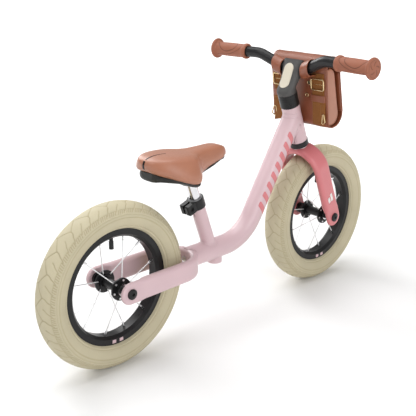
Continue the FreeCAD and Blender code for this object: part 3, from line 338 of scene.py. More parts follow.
def band(path, normals, half_width, thickness, bulge=None, columns=9, side=SIDE, taper=None):
    """Strap with rounded edges and ends: path is the middle of its outer face, normals point out of it."""
    path = np.asarray(path, float)
    normals = unit(normals)
    along = tangents(path)
    edge = thickness / 2
    flat = half_width - edge
    turn = np.linspace(math.pi / 2, -math.pi / 2, 7)[1:-1]
    across = np.linspace(-flat, flat, columns)
    outline = [(w, 0.0) for w in across]
    outline += [(flat + edge * math.cos(a), edge * math.sin(a) - edge) for a in turn]
    outline += [(w, -thickness) for w in across[::-1]]
    outline += [(-flat - edge * math.cos(a), edge * math.sin(a) - edge) for a in turn[::-1]]
    widths, depths = np.array(outline).T
    reach = np.linspace(0, 1, len(path))
    rows = []
    for point, normal, u in zip(path, normals, reach):
        scale = 1.0 if taper is None else taper(u)
        rise = 0.0 if bulge is None else bulge(u, widths / half_width)
        rows.append(point + np.outer(widths * scale, side) + np.outer(depths + rise, normal))
    rows = np.array(rows)

    def end(row, normal, outward, angle):
        squeeze = (depths + edge) * (math.cos(angle) - 1)
        return row + np.outer(squeeze, normal) + outward * (edge * math.sin(angle))

    angles = np.radians([82, 60, 30])
    head = [end(rows[0], normals[0], -along[0], a) for a in angles]
    tail = [end(rows[-1], normals[-1], along[-1], a) for a in angles[::-1]]
    return solid(np.concatenate([head, rows, tail]))


def stitches(path, normals, length=3.4, gap=1.8, width=0.9, height=0.7):
    """Row of thread stitches lying on a surface."""
    line = resample(np.hstack([path, normals]), length + gap)
    along = tangents(line[:, :3])
    latitudes = np.radians([-80, -50, -18, 18, 50, 80])
    longitudes = TAU * np.arange(6) / 6
    parts = []
    for row, tangent in zip(line, along):
        normal = unit(row[3:])
        across = np.cross(tangent, normal)
        rings = []
        for latitude in latitudes:
            middle = row[:3] + tangent * (math.sin(latitude) * length / 2)
            thin = math.cos(latitude) ** 0.6
            ring = np.outer(np.cos(longitudes) * width / 2 * thin, across)
            rings.append(middle + ring + np.outer(np.sin(longitudes) * height / 2 * thin, normal))
        parts.append(solid(rings))
    return merged(parts)


def new_object(name, part):
    """Mesh object from vertices in millimetres."""
    points, faces = part
    mesh = bpy.data.meshes.new(name)
    mesh.from_pydata((np.asarray(points) * MM).tolist(), [], faces)
    shell = bmesh.new()
    shell.from_mesh(mesh)
    bmesh.ops.recalc_face_normals(shell, faces=shell.faces)
    shell.to_mesh(mesh)
    shell.free()
    mesh.shade_smooth()
    made = bpy.data.objects.new(name, mesh)
    bpy.context.scene.collection.objects.link(made)
    return made


# Materials.

def node(tree, kind, inputs=None, **settings):
    """Adds a shader node; an input is a value or another node's output."""
    made = tree.nodes.new("ShaderNode" + kind)
    for key, value in settings.items():
        setattr(made, key, value)
    for key, value in (inputs or {}).items():
        if isinstance(value, bpy.types.NodeSocket):
            tree.links.new(value, made.inputs[key])
        else:
            made.inputs[key].default_value = value
    return made


def srgb(red, green, blue):
    """Linear colour from 0-255 display values."""
    shares = [value / 255 for value in (red, green, blue)]
    return [((share + 0.055) / 1.055) ** 2.4 for share in shares] + [1.0]


def shaded(colour, factor):
    return [channel * factor for channel in colour[:3]] + [1.0]


class Finish:
    """A Principled material under construction."""

    def __init__(self, name, roughness, metallic=0.0, **sockets):
        self.material = bpy.data.materials.new(name)
        self.material.use_nodes = True
        self.tree = self.material.node_tree
        self.shader = self.tree.nodes["Principled BSDF"]
        self.shader.inputs["Roughness"].default_value = roughness
        self.shader.inputs["Metallic"].default_value = metallic
        for key, value in sockets.items():
            self.shader.inputs[key.replace("_", " ")].default_value = value
        self.place = self.add("TexCoord").outputs["Object"]
        self.normal = None

    def add(self, kind, inputs=None, **settings):
        return node(self.tree, kind, inputs, **settings)

    def noise(self, scale, detail=3.0, roughness=0.55, place=None):
        inputs = {"Vector": place or self.place, "Scale": scale, "Detail": detail, "Roughness": roughness}
        return self.add("TexNoise", inputs).outputs["Fac"]

    def spread(self, value, low, high, from_low=0.3, from_high=0.7):
        """A value mapped to another range."""
        inputs = {"Value": value, "From Min": from_low, "From Max": from_high, "To Min": low, "To Max": high}
        return self.add("MapRange", inputs).outputs["Result"]

    def mix(self, factor, first, second):
        return self.add("Mix", {0: factor, 6: first, 7: second}, data_type="RGBA").outputs[2]

    def math(self, operation, first, second=0.0):
        return self.add("Math", {0: first, 1: second}, operation=operation).outputs[0]

    def tone(self, colour, dark, light, scale, detail):
        """The colour in soft clouds between a darker and a lighter share of itself."""
        cloud = self.spread(self.noise(scale, detail), 0.0, 1.0)
        return self.mix(cloud, shaded(colour, dark), shaded(colour, light))

    def colour(self, value):
        self.tree.links.new(value, self.shader.inputs["Base Color"])

    def rough(self, noise, low, high):
        self.tree.links.new(self.spread(noise, low, high), self.shader.inputs["Roughness"])

    def bump(self, height, strength, depth_mm):
        """Adds relief on top of any relief so far."""
        inputs = {"Height": height, "Strength": strength, "Distance": depth_mm * MM}
        if self.normal:
            inputs["Normal"] = self.normal
        self.normal = self.add("Bump", inputs).outputs["Normal"]
        self.tree.links.new(self.normal, self.shader.inputs["Normal"])


def paint(name, colour, roughness=0.4):
    """Sprayed paint: faint orange peel, slight variation in tone and gloss."""
    finish = Finish(name, roughness, Coat_Weight=0.35, Coat_Roughness=0.2)
    finish.colour(finish.tone(colour, 0.965, 1.02, 9.0, 2.0))
    finish.rough(finish.noise(60.0, 4.0), roughness - 0.05, roughness + 0.07)
    finish.bump(finish.noise(420.0, 2.0), 0.06, 0.25)
    return finish.material


def dark_coating(name, colour, roughness, texture=900.0, relief=0.12, specular=0.3):
    """Black anodised or powder-coated metal and moulded plastic: fine tooth, rubbed spots."""
    finish = Finish(name, roughness, Specular_IOR_Level=specular)
    finish.colour(finish.tone(colour, 0.85, 1.2, 26.0, 5.0))
    finish.rough(finish.noise(75.0, 4.0), roughness - 0.07, roughness + 0.08)
    finish.bump(finish.noise(texture, 3.0), relief, 0.2)
    return finish.material


def bare_metal(name, colour, roughness, stretch=(1.0, 1.0, 1.0), relief=0.05, metallic=1.0):
    """Plated or drawn metal with fine scratches and smudges."""
    finish = Finish(name, roughness, metallic=metallic)
    place = finish.add("Mapping", {"Vector": finish.place, "Scale": stretch}).outputs["Vector"]
    scratches = finish.noise(700.0, 4.0, place=place)
    finish.colour(finish.tone(colour, 0.9, 1.03, 35.0, 4.0))
    finish.rough(finish.noise(55.0, 5.0), max(roughness - 0.05, 0.03), roughness + 0.1)
    finish.bump(scratches, relief, 0.1)
    return finish.material


def leather(name, colour, roughness, pore, relief, mottle, wax):
    """Grained leather: pores, creases, uneven dye and polished high spots."""
    finish = Finish(name, roughness, Specular_IOR_Level=0.5, Coat_Weight=wax, Coat_Roughness=0.38)
    cells = finish.add("TexVoronoi", {"Vector": finish.place, "Scale": pore, "Randomness": 0.9},
                       feature="SMOOTH_F1").outputs["Distance"]
    creases = finish.noise(pore * 0.16, 6.0, 0.62)
    dye = finish.tone(colour, 1 - mottle, 1 + mottle * 0.55, 24.0, 4.0)
    pores = finish.spread(cells, 0.0, 0.22, 0.25, 0.75)
    finish.colour(finish.mix(pores, dye, shaded(colour, 0.62)))
    finish.rough(creases, roughness - 0.07, roughness + 0.12)
    finish.bump(creases, relief * 0.6, 0.5)
    finish.bump(finish.math("MULTIPLY", cells, -1.0), relief, 0.3)
    return finish.material


def tyre_rubber(name, colour, dust_and_shade_colour):
    """Cream rubber: darker in the grooves with dust and painted shade, chalky patches, fine moulding texture.
    """
    finish = Finish(name, 0.62, Specular_IOR_Level=0.3)
    # The grooves are coloured darker: dust and painted shade.
    groove_dust_and_shade = finish.add("Attribute", attribute_name="groove_dust_and_shade").outputs["Fac"]
    finish.colour(finish.mix(groove_dust_and_shade, finish.tone(colour, 0.94, 1.03, 16.0, 5.0), dust_and_shade_colour))
    finish.rough(finish.noise(90.0, 4.0), 0.55, 0.72)
    finish.bump(finish.noise(600.0, 4.0), 0.12, 0.25)
    return finish.material


def soft_rubber(name, colour, roughness=0.6):
    """Moulded rubber with a fine leathery skin; its grooves darker as painted shade."""
    finish = Finish(name, roughness, Specular_IOR_Level=0.35)
    # Grooves take half the colour: painted shade.
    groove_dust_and_shade = finish.add("Attribute", attribute_name="groove_dust_and_shade").outputs["Fac"]
    finish.colour(finish.mix(groove_dust_and_shade, finish.tone(colour, 0.92, 1.05, 30.0, 4.0), shaded(colour, 0.5)))
    finish.rough(finish.noise(120.0, 4.0), roughness - 0.08, roughness + 0.08)
    cells = finish.add("TexVoronoi", {"Vector": finish.place, "Scale": 1500.0}).outputs["Distance"]
    finish.bump(cells, 0.14, 0.2)
    return finish.material


def woven(name, colour):
    """Webbing: diagonal ribs crossed by fine weft, slightly fuzzy."""
    finish = Finish(name, 0.82, Sheen_Weight=0.25, Sheen_Roughness=0.5, Specular_IOR_Level=0.2)
    level = {"Vector": finish.place, "Rotation": (0.0, -BAG_TILT, 0.0)}
    turned = finish.add("Mapping", level).outputs["Vector"]

    def threads(direction, scale, distortion):
        inputs = {"Vector": turned, "Scale": scale, "Distortion": distortion, "Detail": 1.0}
        return finish.add("TexWave", inputs, wave_type="BANDS", bands_direction=direction).outputs["Fac"]

    weave = finish.math("MULTIPLY", threads("Z", 190.0, 0.6), threads("Y", 260.0, 0.4))
    fade = finish.tone(colour, 0.85, 1.12, 22.0, 4.0)
    finish.colour(finish.mix(finish.spread(weave, 0.0, 0.5, 0.0, 0.6), shaded(colour, 0.55), fade))
    finish.bump(weave, 0.5, 0.5)
    return finish.material


def moulded(name, colour, roughness=0.5):
    """Light moulded plastic with a faint texture."""
    finish = Finish(name, roughness)
    finish.colour(finish.tone(colour, 0.95, 1.03, 30.0, 3.0))
    finish.rough(finish.noise(90.0, 3.0), roughness - 0.06, roughness + 0.08)
    finish.bump(finish.noise(800.0, 3.0), 0.08, 0.15)
    return finish.material


CORAL = srgb(206, 117, 121)
FINISHES = {
    "pink_paint": paint("pink_paint", srgb(208, 179, 184)),
    "coral_paint": paint("coral_paint", CORAL, 0.38),
    "black_metal": dark_coating("black_metal", srgb(25, 25, 26), 0.34),
    "black_plastic": dark_coating("black_plastic", srgb(68, 67, 66), 0.5, 700.0, 0.2, 0.5),
    "steel": bare_metal("steel", srgb(236, 236, 237), 0.26, (1.0, 6.0, 1.0)),
    "chrome": bare_metal("chrome", srgb(232, 232, 234), 0.07, (1.0, 1.0, 0.2), 0.02),
    "cream_tyre": tyre_rubber("cream_tyre", srgb(193, 184, 156), srgb(170, 158, 127)),
    "tube_rubber": soft_rubber("tube_rubber", srgb(34, 34, 35), 0.55),
    "grip_rubber": soft_rubber("grip_rubber", srgb(152, 95, 73)),
    "tan_leather": leather("tan_leather", srgb(170, 111, 84), 0.4, 1700.0, 0.12, 0.06, 0.5),
    "brown_leather": leather("brown_leather", srgb(140, 76, 47), 0.38, 1300.0, 0.22, 0.12, 0.35),
    "webbing": woven("webbing", srgb(166, 104, 42)),
    "brass": bare_metal("brass", srgb(222, 196, 150), 0.2),
    "cream_plastic": moulded("cream_plastic", srgb(206, 198, 180)),
    "grey_plastic": moulded("grey_plastic", srgb(150, 150, 152), 0.55),
}
THREAD = moulded("thread", srgb(120, 66, 46), 0.7)
DECAL_WHITE = moulded("decal_white", srgb(240, 236, 232), 0.4)
SPOKE_STEEL = bare_metal("spoke_steel", srgb(246, 246, 247), 0.34, (1.0, 1.0, 1.0), 0.02, 0.6)
INLAY_BLACK = dark_coating("inlay_black", srgb(16, 16, 16), 0.22, 700.0, 0.04)
SADDLE_SHELL = dark_coating("saddle_shell", srgb(38, 38, 36), 0.45, 700.0, 0.15)


def dress(piece, slot, body, *nodes, material=None):
    """Material (the slot's finish unless another is given), body and the CAD nodes that a piece stands for,
    which are hidden.
    """
    piece.data.materials.append(material or FINISHES[slot])
    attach(piece, body)
    if nodes:
        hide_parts(*nodes)


def add_piece(name, part, slot, body, *nodes, material=None):
    dress(new_object(name, part), slot, body, *nodes, material=material)


def dress_cad_nodes():
    """Every carried-over CAD node gets its slot's finished material."""
    for part in record["subparts"]:
        mesh = frame["nodes"][part["node"]].data
        mesh.materials.clear()
        mesh.materials.append(FINISHES[part["material_slot"]])
    for name, material in (("saddle_base", SADDLE_SHELL), ("saddle_bracket", SADDLE_SHELL),
                           ("front_spokes", SPOKE_STEEL), ("rear_spokes", SPOKE_STEEL)):
        frame["nodes"][name].data.materials[0] = material


# Tyres.

def tread_lines():
    """Grooves of one pitch: [(points of (degrees from the -Y side, degrees round), half width, depth)]."""
    pitch = 360 / TREAD_PITCHES
    centre_low, centre_high = (72.0, 0.0), (108.0, 7.2)
    lines = [
        ([centre_low, centre_high, (72.0, pitch)], 0.75, 1.1),
        ([centre_low, (60.0, 0.4), (48.0, 2.1), (35.0, 3.2), (24.0, 4.8)], 0.75, 1.1),
        ([(66.0, 7.0), (56.0, 8.2), (47.0, 9.7), (35.0, 11.0), (27.0, 11.9)], 0.8, 0.9),
        ([(33.0, 4.4), (33.0, 9.9)], 0.7, 0.7),
        ([(33.0, 12.0), (33.0, 17.4)], 0.7, 0.7),
    ]
    for first in (4.9, 12.4):
        for step in range(4):
            start = first + 1.65 * step
            lines.append(([(32.0, start), (14.0, start + 1.0)], 0.85, 0.9))
    far = [([(180 - across, around + 7.2) for across, around in points], width, depth)
           for points, width, depth in lines[1:]]
    return lines + far


def tyre_section():
    """Outer section as (y, radius) from the -Y rim edge over the crown to the +Y rim edge, and its return."""
    edge = math.asin((TYRE_WIDEST_RADIUS - RIM_EDGE_RADIUS - 0.4) / SIDEWALL_DROP)
    low = np.linspace(-edge, 0, 31)[:-1]
    crown = np.radians(np.linspace(0, 180, 83))
    side = [(-TYRE_HALF_WIDTH * math.cos(a), TYRE_WIDEST_RADIUS + SIDEWALL_DROP * math.sin(a)) for a in low]
    rise = TYRE_RADIUS - TYRE_WIDEST_RADIUS
    top = [(-TYRE_HALF_WIDTH * math.cos(a), TYRE_WIDEST_RADIUS + rise * math.sin(a)) for a in crown]
    outer = side + top + [(-y, z) for y, z in side[::-1]]
    inner = [(12.9, 108.9), (12.9, 102.0), (9.6, 101.8)]
    inner += [(23.4 * math.cos(a), TYRE_WIDEST_RADIUS + 32.0 * math.sin(a)) for a in np.linspace(-0.9, 0, 5)]
    inner += [(23.4 * math.cos(a), TYRE_WIDEST_RADIUS + 15.9 * math.sin(a)) for a in np.radians([30, 60, 90])]
    inner += [(-y, z) for y, z in inner[-2::-1]]
    return np.array(outer), np.array(inner)


def distance_to_line(points, line):
    """Distance from each point of a plane to a chain of straight pieces."""
    best = np.full(len(points), np.inf)
    for start, end in zip(line, line[1:]):
        run = end - start
        t = np.clip(((points - start) @ run) / (run @ run), 0, 1)
        best = np.minimum(best, np.linalg.norm(points - start - t[:, None] * run, axis=1))
    return best


def groove_depth(points, lines, shifts=((0.0, 0.0),)):
    """Depth at each point under soft-edged grooves; lines hold (points, half width, depth)."""
    depth = np.zeros(len(points))
    for line, half_width, deep in lines:
        for shift in shifts:
            near = distance_to_line(points, np.asarray(line, float) + shift)
            fall = np.clip(1.25 - near / half_width, 0, 1)
            depth = np.maximum(depth, deep * fall * fall * (3 - 2 * fall))
    return depth


def tyre_mesh():
    outer, inner = tyre_section()
    columns = TREAD_PITCHES * COLUMNS_PER_PITCH
    steps = np.linalg.norm(np.diff(outer, axis=0), axis=1)
    lateral = np.concatenate([[0.0], np.cumsum(steps)])
    bearing = np.degrees(np.arctan2((outer[:, 1] - TYRE_WIDEST_RADIUS) / (TYRE_RADIUS - TYRE_WIDEST_RADIUS),
                                    -outer[:, 0] / TYRE_HALF_WIDTH))
    on_crown = bearing >= 0
    around = np.arange(COLUMNS_PER_PITCH) * 360 / columns
    mm_per_degree = math.radians(1) * TREAD_SCALE_RADIUS

    def flat(points):
        across = [np.interp(a, bearing[on_crown], lateral[on_crown]) for a, _ in points]
        return [(s, degrees * mm_per_degree) for s, (_, degrees) in zip(across, points)]

    lines = [(flat(points), half_width, depth) for points, half_width, depth in tread_lines()]
    samples = np.stack(np.meshgrid(lateral, around * mm_per_degree, indexing="ij"), -1).reshape(-1, 2)
    pitch = 360 / TREAD_PITCHES * mm_per_degree
    depth = groove_depth(samples, lines, [(0.0, shift * pitch) for shift in (-2, -1, 0, 1)])
    depth = depth.reshape(len(outer), COLUMNS_PER_PITCH)
    radius = outer[:, 1]
    ridge = sum(rise * np.exp(-((radius - at) / width) ** 2) for at, width, rise in SIDEWALL_RINGS)
    ribs = RIB_RISE * np.clip(1 - np.abs(radius - RIB_RADIUS) / RIB_REACH, 0, 1)
    knurl = ribs[:, None] * (np.sin(TAU * np.arange(COLUMNS_PER_PITCH) / 8) > 0)
    normal = unit(np.gradient(outer, axis=0)[:, ::-1] * np.array([-1.0, 1.0]))
    lift = ridge[:, None] + knurl - depth
    y = outer[:, :1] + normal[:, :1] * lift
    z = outer[:, 1:] + normal[:, 1:] * lift
    y = np.vstack([y, np.repeat(inner[:, :1], COLUMNS_PER_PITCH, 1)])
    z = np.vstack([z, np.repeat(inner[:, 1:], COLUMNS_PER_PITCH, 1)])
    y = np.tile(y, (1, TREAD_PITCHES))
    z = np.tile(z, (1, TREAD_PITCHES))
    angle = np.radians(np.arange(columns) * 360 / columns)
    points = np.stack([z * np.cos(angle), y, z * np.sin(angle)], -1)
    # Grooves and sidewall rings get the darker colour: dust and painted shade.
    dust_and_shade = np.maximum(depth, np.maximum(-ridge, 0)[:, None])
    dust_and_shade = np.vstack([dust_and_shade, np.zeros((len(inner), COLUMNS_PER_PITCH))])
    dust_and_shade = np.tile(np.clip(dust_and_shade, 0, 1), (1, TREAD_PITCHES))
    return solid(points, ring=True), dust_and_shade.reshape(-1)


def set_groove_dust_and_shade(piece, values):
    """Per-vertex darkening in the grooves for the material: dust and painted shade on the tyres, painted
    shade on the grips.
    """
    attribute = piece.data.attributes.new("groove_dust_and_shade", "FLOAT", "POINT")
    attribute.data.foreach_set("value", np.asarray(values, np.float32))


def tyres():
    part, dust_and_shade = tyre_mesh()
    for name, axle, turn in (("front", FRONT_AXLE, 3.0), ("rear", REAR_AXLE, 5.0)):
        piece = new_object(name + "_tyre_tread", part)
        set_groove_dust_and_shade(piece, dust_and_shade)
        spin = Matrix.Rotation(-math.radians(turn), 4, "Y")
        piece.data.transform(Matrix.Translation(Vector(axle) * MM) @ spin)
        dress(piece, "cream_tyre", name + "_wheel", name + "_tyre")


def rim_marks():
    """Two small pink rectangles on each rim face; middles are degrees round the wheel."""
    section = ((99.6, 0.0), (99.9, 0.22), (105.9, 0.22), (106.2, 0.0))
    for name, axle, middles in (("front", FRONT_AXLE, (-92, -83)), ("rear", REAR_AXLE, (-97, -88))):
        parts = []
        for middle in middles:
            rows = []
            for angle in np.radians(np.linspace(middle - 2.3, middle + 2.3, 7)):
                across, up = at_angle(angle)
                rows.append([axle + np.array([radius * across, -RIM_HALF_WIDTH - rise, radius * up])
                             for radius, rise in section])
            parts.append(solid(rows))
        add_piece(name + "_rim_marks", both(merged(parts)), "pink_paint", name + "_wheel")


# Frame.

def node_tree_of(name):
    """Search tree over a CAD node's surface, in millimetres."""
    mesh = frame["nodes"][name].data
    points = [vertex.co / MM for vertex in mesh.vertices]
    return BVHTree.FromPolygons(points, [list(polygon.vertices) for polygon in mesh.polygons])


def weld(name, start, direction, radius, target, size, count=96):
    """Concave fillet where a tube's end meets another node's surface."""
    surface = node_tree_of(target)
    direction = unit(direction)
    first = unit(np.cross(direction, (0.1, 0.9, 0.2)))
    second = np.cross(direction, first)
    rows = []
    for angle in TAU * np.arange(count) / count:
        radial = first * math.cos(angle) + second * math.sin(angle)
        source = np.asarray(start) + radial * radius
        hit, normal, _, _ = surface.ray_cast(Vector(source), Vector(direction))
        if hit is None:
            hit, normal, _, _ = surface.find_nearest(Vector(source + direction * STAY_THICK))
        corner, normal = np.array(hit), unit(np.array(normal))
        if normal @ direction > 0:
            normal = -normal
        along_surface = unit(radial - normal * (radial @ normal))
        t = np.linspace(0, 1, 9)[:, None]
        tube_end = corner - direction * size + radial * 0.05
        surface_end = corner + along_surface * size + normal * 0.05
        curve = (1 - t) ** 2 * tube_end + 2 * t * (1 - t) * corner + t ** 2 * surface_end
        rows.append(np.vstack([curve, corner - normal * 0.8 - radial * 0.8]))
    add_piece(name, solid(rows, ring=True), "pink_paint", "frame")


def frame_welds():
    bridge = np.array([-60.0, 0.0, MAIN_TUBE_AXIS_Z])
    head = MAIN_TUBE_CORNER + MAIN_TUBE_ALONG * 180
    weld("weld_seat_tube", SEAT_FOOT + SEAT_UP * 60, -SEAT_UP, SEAT_TUBE_RADIUS, "main_tube", 4.5)
    weld("weld_head_tube", head, MAIN_TUBE_ALONG, MAIN_TUBE_RADIUS, "head_tube", 5.0)
    weld("weld_rear_bridge", bridge, -FORWARD, MAIN_TUBE_RADIUS, "rear_stays", 5.0)
    weld("weld_accessory_boss", BOSS_CENTRE, UP, BOSS_RADIUS, "main_tube", 2.0)


def tube_ring(outline, lift):
    """Closed outline of (along, degrees from the upper side) laid round the main tube's slope."""
    ring = []
    for along, degrees in outline:
        angle = math.radians(degrees)
        outward = MAIN_TUBE_UPPER * math.cos(angle) - SIDE * math.sin(angle)
        ring.append(MAIN_TUBE_CORNER + MAIN_TUBE_ALONG * along + outward * (MAIN_TUBE_RADIUS + lift))
    return np.array(ring)


def even_loop(points, count):
    """Closed outline as count points at equal steps along it."""
    closed = np.vstack([points, points[:1]])
    reach = np.concatenate([[0.0], np.cumsum(np.linalg.norm(np.diff(closed, axis=0), axis=1))])
    at = np.linspace(0.0, reach[-1], count, endpoint=False)
    return np.stack([np.interp(at, reach, closed[:, k]) for k in range(2)], 1)


def slanted_bar(start):
    """Outline of one slanted bar on the main tube as (along, degrees round the tube)."""
    per_degree = MAIN_TUBE_RADIUS * math.pi / 180
    low, high = MARK_LOW * per_degree, MARK_HIGH * per_degree
    end, lean = start + MARK_WIDTH, MARK_LEAN
    corners = [(start + lean, low), (end + lean, low), (end - lean, high), (start - lean, high)]
    outline = even_loop(rounded(corners, 2.0, closed=True), 72)
    return outline / np.array([1.0, per_degree])


def tube_marks():
    """Row of slanted bars on each side of the main tube, in the fork's colour."""
    parts = []
    for index in range(MARK_COUNT):
        outline = slanted_bar(MARK_START + index * MARK_PITCH)
        centre = outline.mean(0)
        rings = [tube_ring(outline, MARK_LIFT - MARK_THICKNESS)]
        rings += [tube_ring(outline + (centre - outline) * t, MARK_LIFT) for t in np.linspace(0, 0.92, 7)]
        parts.append(both(solid(rings)))
    add_piece("main_tube_marks", merged(parts), "coral_paint", "frame")


def smoothstep(value, low, high):
    t = np.clip((value - low) / (high - low), 0, 1)
    return t * t * (3 - 2 * t)


def u_tube(axle, ahead, upright, bridge_centre):
    """Flattened U tube that thins into a round-ended plate at the axle.

    ahead points from the axle to the bridge, upright is the section's tall direction.
    """
    half_height = STAY_TALL / 2
    phi = np.linspace(-math.pi / 2, math.pi / 2, 29)
    tip = -half_height * np.sin(np.radians(np.linspace(86, 2, 16)))
    leg = np.linspace(0.0, bridge_centre, 44)
    stations = [(u, 0.0) for u in np.concatenate([tip, leg])]
    stations += [(bridge_centre, angle) for angle in np.radians(np.linspace(3, 90, 30))]
    rows = []
    for u, angle in stations:
        height = math.sqrt(half_height ** 2 - u ** 2) if u < 0 else half_height
        across = height * np.sin(phi)
        rim = half_height - np.sqrt(min(u, 0.0) ** 2 + across ** 2)
        outer = STAY_THICK / 2 - (1 - smoothstep(u, 12.0, PLATE_END))
        inner = -STAY_THICK / 2 + PLATE_THINNING * (1 - smoothstep(u, 18.0, PLATE_END))
        middle, half = (outer + inner) / 2, (outer - inner) / 2
        fall = np.clip((half - rim) / half, 0, 1)
        bulge = half * np.sqrt(np.maximum(1 - fall ** 2, 0))
        offsets = np.concatenate([middle + bulge, (middle - bulge)[::-1][1:-1]])
        heights = np.concatenate([across, across[::-1][1:-1]])
        radius = STAY_SPREAD + offsets
        along = u + radius * math.sin(angle)
        side = radius * math.cos(angle)
        rows.append(axle + np.outer(along, ahead) + np.outer(side, SIDE) + np.outer(heights, upright))
    rows = np.array(rows)
    other = rows[-2::-1] * np.array([1.0, -1.0, 1.0])
    return solid(np.concatenate([rows, other]))


def stays_and_fork():
    """Smooth flattened tubes in place of the plainer solids."""
    rear = u_tube(REAR_AXLE, FORWARD, UP, STAY_AXLE_DISTANCE)
    add_piece("rear_stay_tube", rear, "pink_paint", "frame", "rear_stays")
    front = u_tube(FRONT_AXLE, STEER_UP, np.cross(STEER_UP, SIDE), FORK_BRIDGE)
    add_piece("fork_tube", front, "coral_paint", "fork", "fork")


def fork_marks():
    """Small white bars low on the outside of each fork leg."""
    forward = np.cross(SIDE, STEER_UP)
    face = STAY_SPREAD + STAY_THICK / 2
    half, bottom, slant = 3.2, 43.0, 1.0
    parts = []
    for offset, length in ((-5.0, 13.0), (4.0, 19.0)):
        back, front, top = offset - half, offset + half, bottom + length
        corners = [(back, bottom), (front, bottom + slant), (front, top + slant), (back, top)]
        outline = rounded(corners, 1.0, closed=True)
        flat = FRONT_AXLE + outline[:, :1] * forward + outline[:, 1:] * STEER_UP
        rows = [flat - SIDE * (face + lift) for lift in (0.25, -0.2)]
        parts.append(both(solid(rows)))
    add_piece("fork_marks", merged(parts), "cream_plastic", "fork", material=DECAL_WHITE)


def limiter_socket():
    """Grub screw's mouth in the upper cup: a bevelled ring round a shallow black dish, painted shade for the
    hole.
    """
    forward = np.cross(SIDE, STEER_UP)
    outward = -forward * math.cos(LIMITER_TURN) - SIDE * math.sin(LIMITER_TURN)
    centre = FRONT_AXLE + STEER_UP * LIMITER_HEIGHT + outward * (CUP_RADIUS - 0.1)
    ring = ((2.3, 0.0), (2.6, 0.35), (3.3, 0.4), (3.7, 0.0), (3.7, -0.6), (2.3, -0.6))
    # The hole is a shallow dish in black rubber: painted shade.
    hole = ((2.35, 0.1), (2.2, -0.2), (1.5, -0.35), (0.1, -0.4), (0.1, -0.7), (2.35, -0.7))
    ring = lathe(ring, centre, outward, 28, closed=True)
    add_piece("limiter_ring", ring, "black_metal", "frame", "limiter_screw")
    add_piece("limiter_hole_shade", lathe(hole, centre, outward, 24), "tube_rubber", "frame")


# Grips.

def grip_lines():
    """Swirl grooves on the grip as (along, round in millimetres from the rear side)."""
    long_swirl = [(12, 21), (10.5, 13), (15, 5), (27, -2), (44, -8), (61, -11), (77, -12)]
    short_swirl = [(27, 21), (24, 13), (29, 5), (40, 0), (52, -2), (62, 1), (70, 8), (77, 17)]
    lines = []
    for points in (long_swirl, short_swirl):
        curve = smooth_curve(points, 40)
        other = curve * np.array([1.0, -1.0]) + np.array([0.0, 44.6])
        lines += [(line, 0.95, GRIP_GROOVE) for line in (curve, other)]
    return lines


def grip_mesh():
    """Left grip: collar, swirl-grooved body, flared end with a ringed cap."""
    direction = unit(BAR_END - BAR_RISE_END)
    start = BAR_RISE_END + direction * ((GRIP_INNER - BAR_RISE_END[1]) / direction[1])
    collar = smooth_curve([(11.2, 1.2), (13.2, 0.2), (15.4, 1.0), (16.3, 3.6), (16.0, 7.4), (14.7, 10.6),
                           (14.15, 14)], 26)
    body = np.stack([14.15 + 0.35 * np.sin(np.linspace(0, math.pi, 84)), np.linspace(14.8, 75.0, 84)], 1)
    flare = smooth_curve([(14.2, 76.0), (15.0, 79.0), (17.6, 81.4), (20.2, 82.6), (21.3, 84.6), (20.9, 87.0),
                          (19.4, 88.3), (16.0, 88.7), (10.0, 88.9), (4.0, 89.0)], 52)
    profile = np.vstack([collar, body, flare])
    columns = 120
    girth = TAU * GRIP_RADIUS
    round_mm = np.arange(columns) * girth / columns - girth / 4
    samples = np.stack(np.meshgrid(profile[:, 1], round_mm, indexing="ij"), -1).reshape(-1, 2)
    depth = groove_depth(samples, grip_lines(), [(0.0, shift * girth) for shift in (-1, 0, 1)])
    depth = depth.reshape(len(profile), columns)
    depth[(profile[:, 1] > GROOVED_TO) | (profile[:, 1] < GROOVED_FROM)] = 0
    angle = TAU * np.arange(columns) / columns
    radius = profile[:, :1]
    petals = np.clip(np.sin(5 * angle + radius * 0.42) * 3 - 1.8, 0, 1)
    ring = np.clip(1 - np.abs(radius - CAP_RING_RADIUS) / 0.8, 0, 1)
    rosette = petals * ((radius > ROSETTE_FROM) & (radius < ROSETTE_TO))
    cap_depth = np.where(profile[:, 1:] > CAP_FACE, np.maximum(ring, rosette) * CAP_GROOVE, 0)
    up = unit(UP - direction * direction[2])
    back = unit(np.cross(direction, up))
    ring_directions = np.outer(np.sin(angle), back) + np.outer(-np.cos(angle), up)
    along = profile[:, 1:] - cap_depth
    points = start + along[..., None] * direction + (radius - depth)[..., None] * ring_directions[None]
    # Grooves on the body and the cap get a darker colour: painted shade.
    dust_and_shade = np.clip(np.maximum(depth / GRIP_GROOVE, cap_depth * 1.6), 0, 1)
    return solid(points), dust_and_shade.reshape(-1)


def grips():
    part, dust_and_shade = grip_mesh()
    for name, shape in (("left", part), ("right", mirrored(part))):
        piece = new_object("grip_" + name + "_moulding", shape)
        set_groove_dust_and_shade(piece, dust_and_shade)
        dress(piece, "grip_rubber", "handlebar", "grip_" + name)


# Bag.

def bag_place(section, side=0.0):
    """Points of the bag's section (forward, up) in space."""
    section = np.asarray(section, float)
    return BAG_ORIGIN + section[..., :1] * BAG_FORWARD + section[..., 1:2] * BAG_UP + SIDE * side


def bag_normals(section, turn):
    """Unit normals of a line of the bag's section, to its right (-1) or left (+1)."""
    along = unit(np.gradient(section, axis=0)) * turn
    return along[:, :1] * BAG_UP - along[:, 1:] * BAG_FORWARD


def bag_band(section, turn, half_width, thickness, side=0.0, **shape):
    """Strip of sheet that follows a line of the bag's section."""
    return band(bag_place(section, side), bag_normals(section, turn), half_width, thickness, **shape)


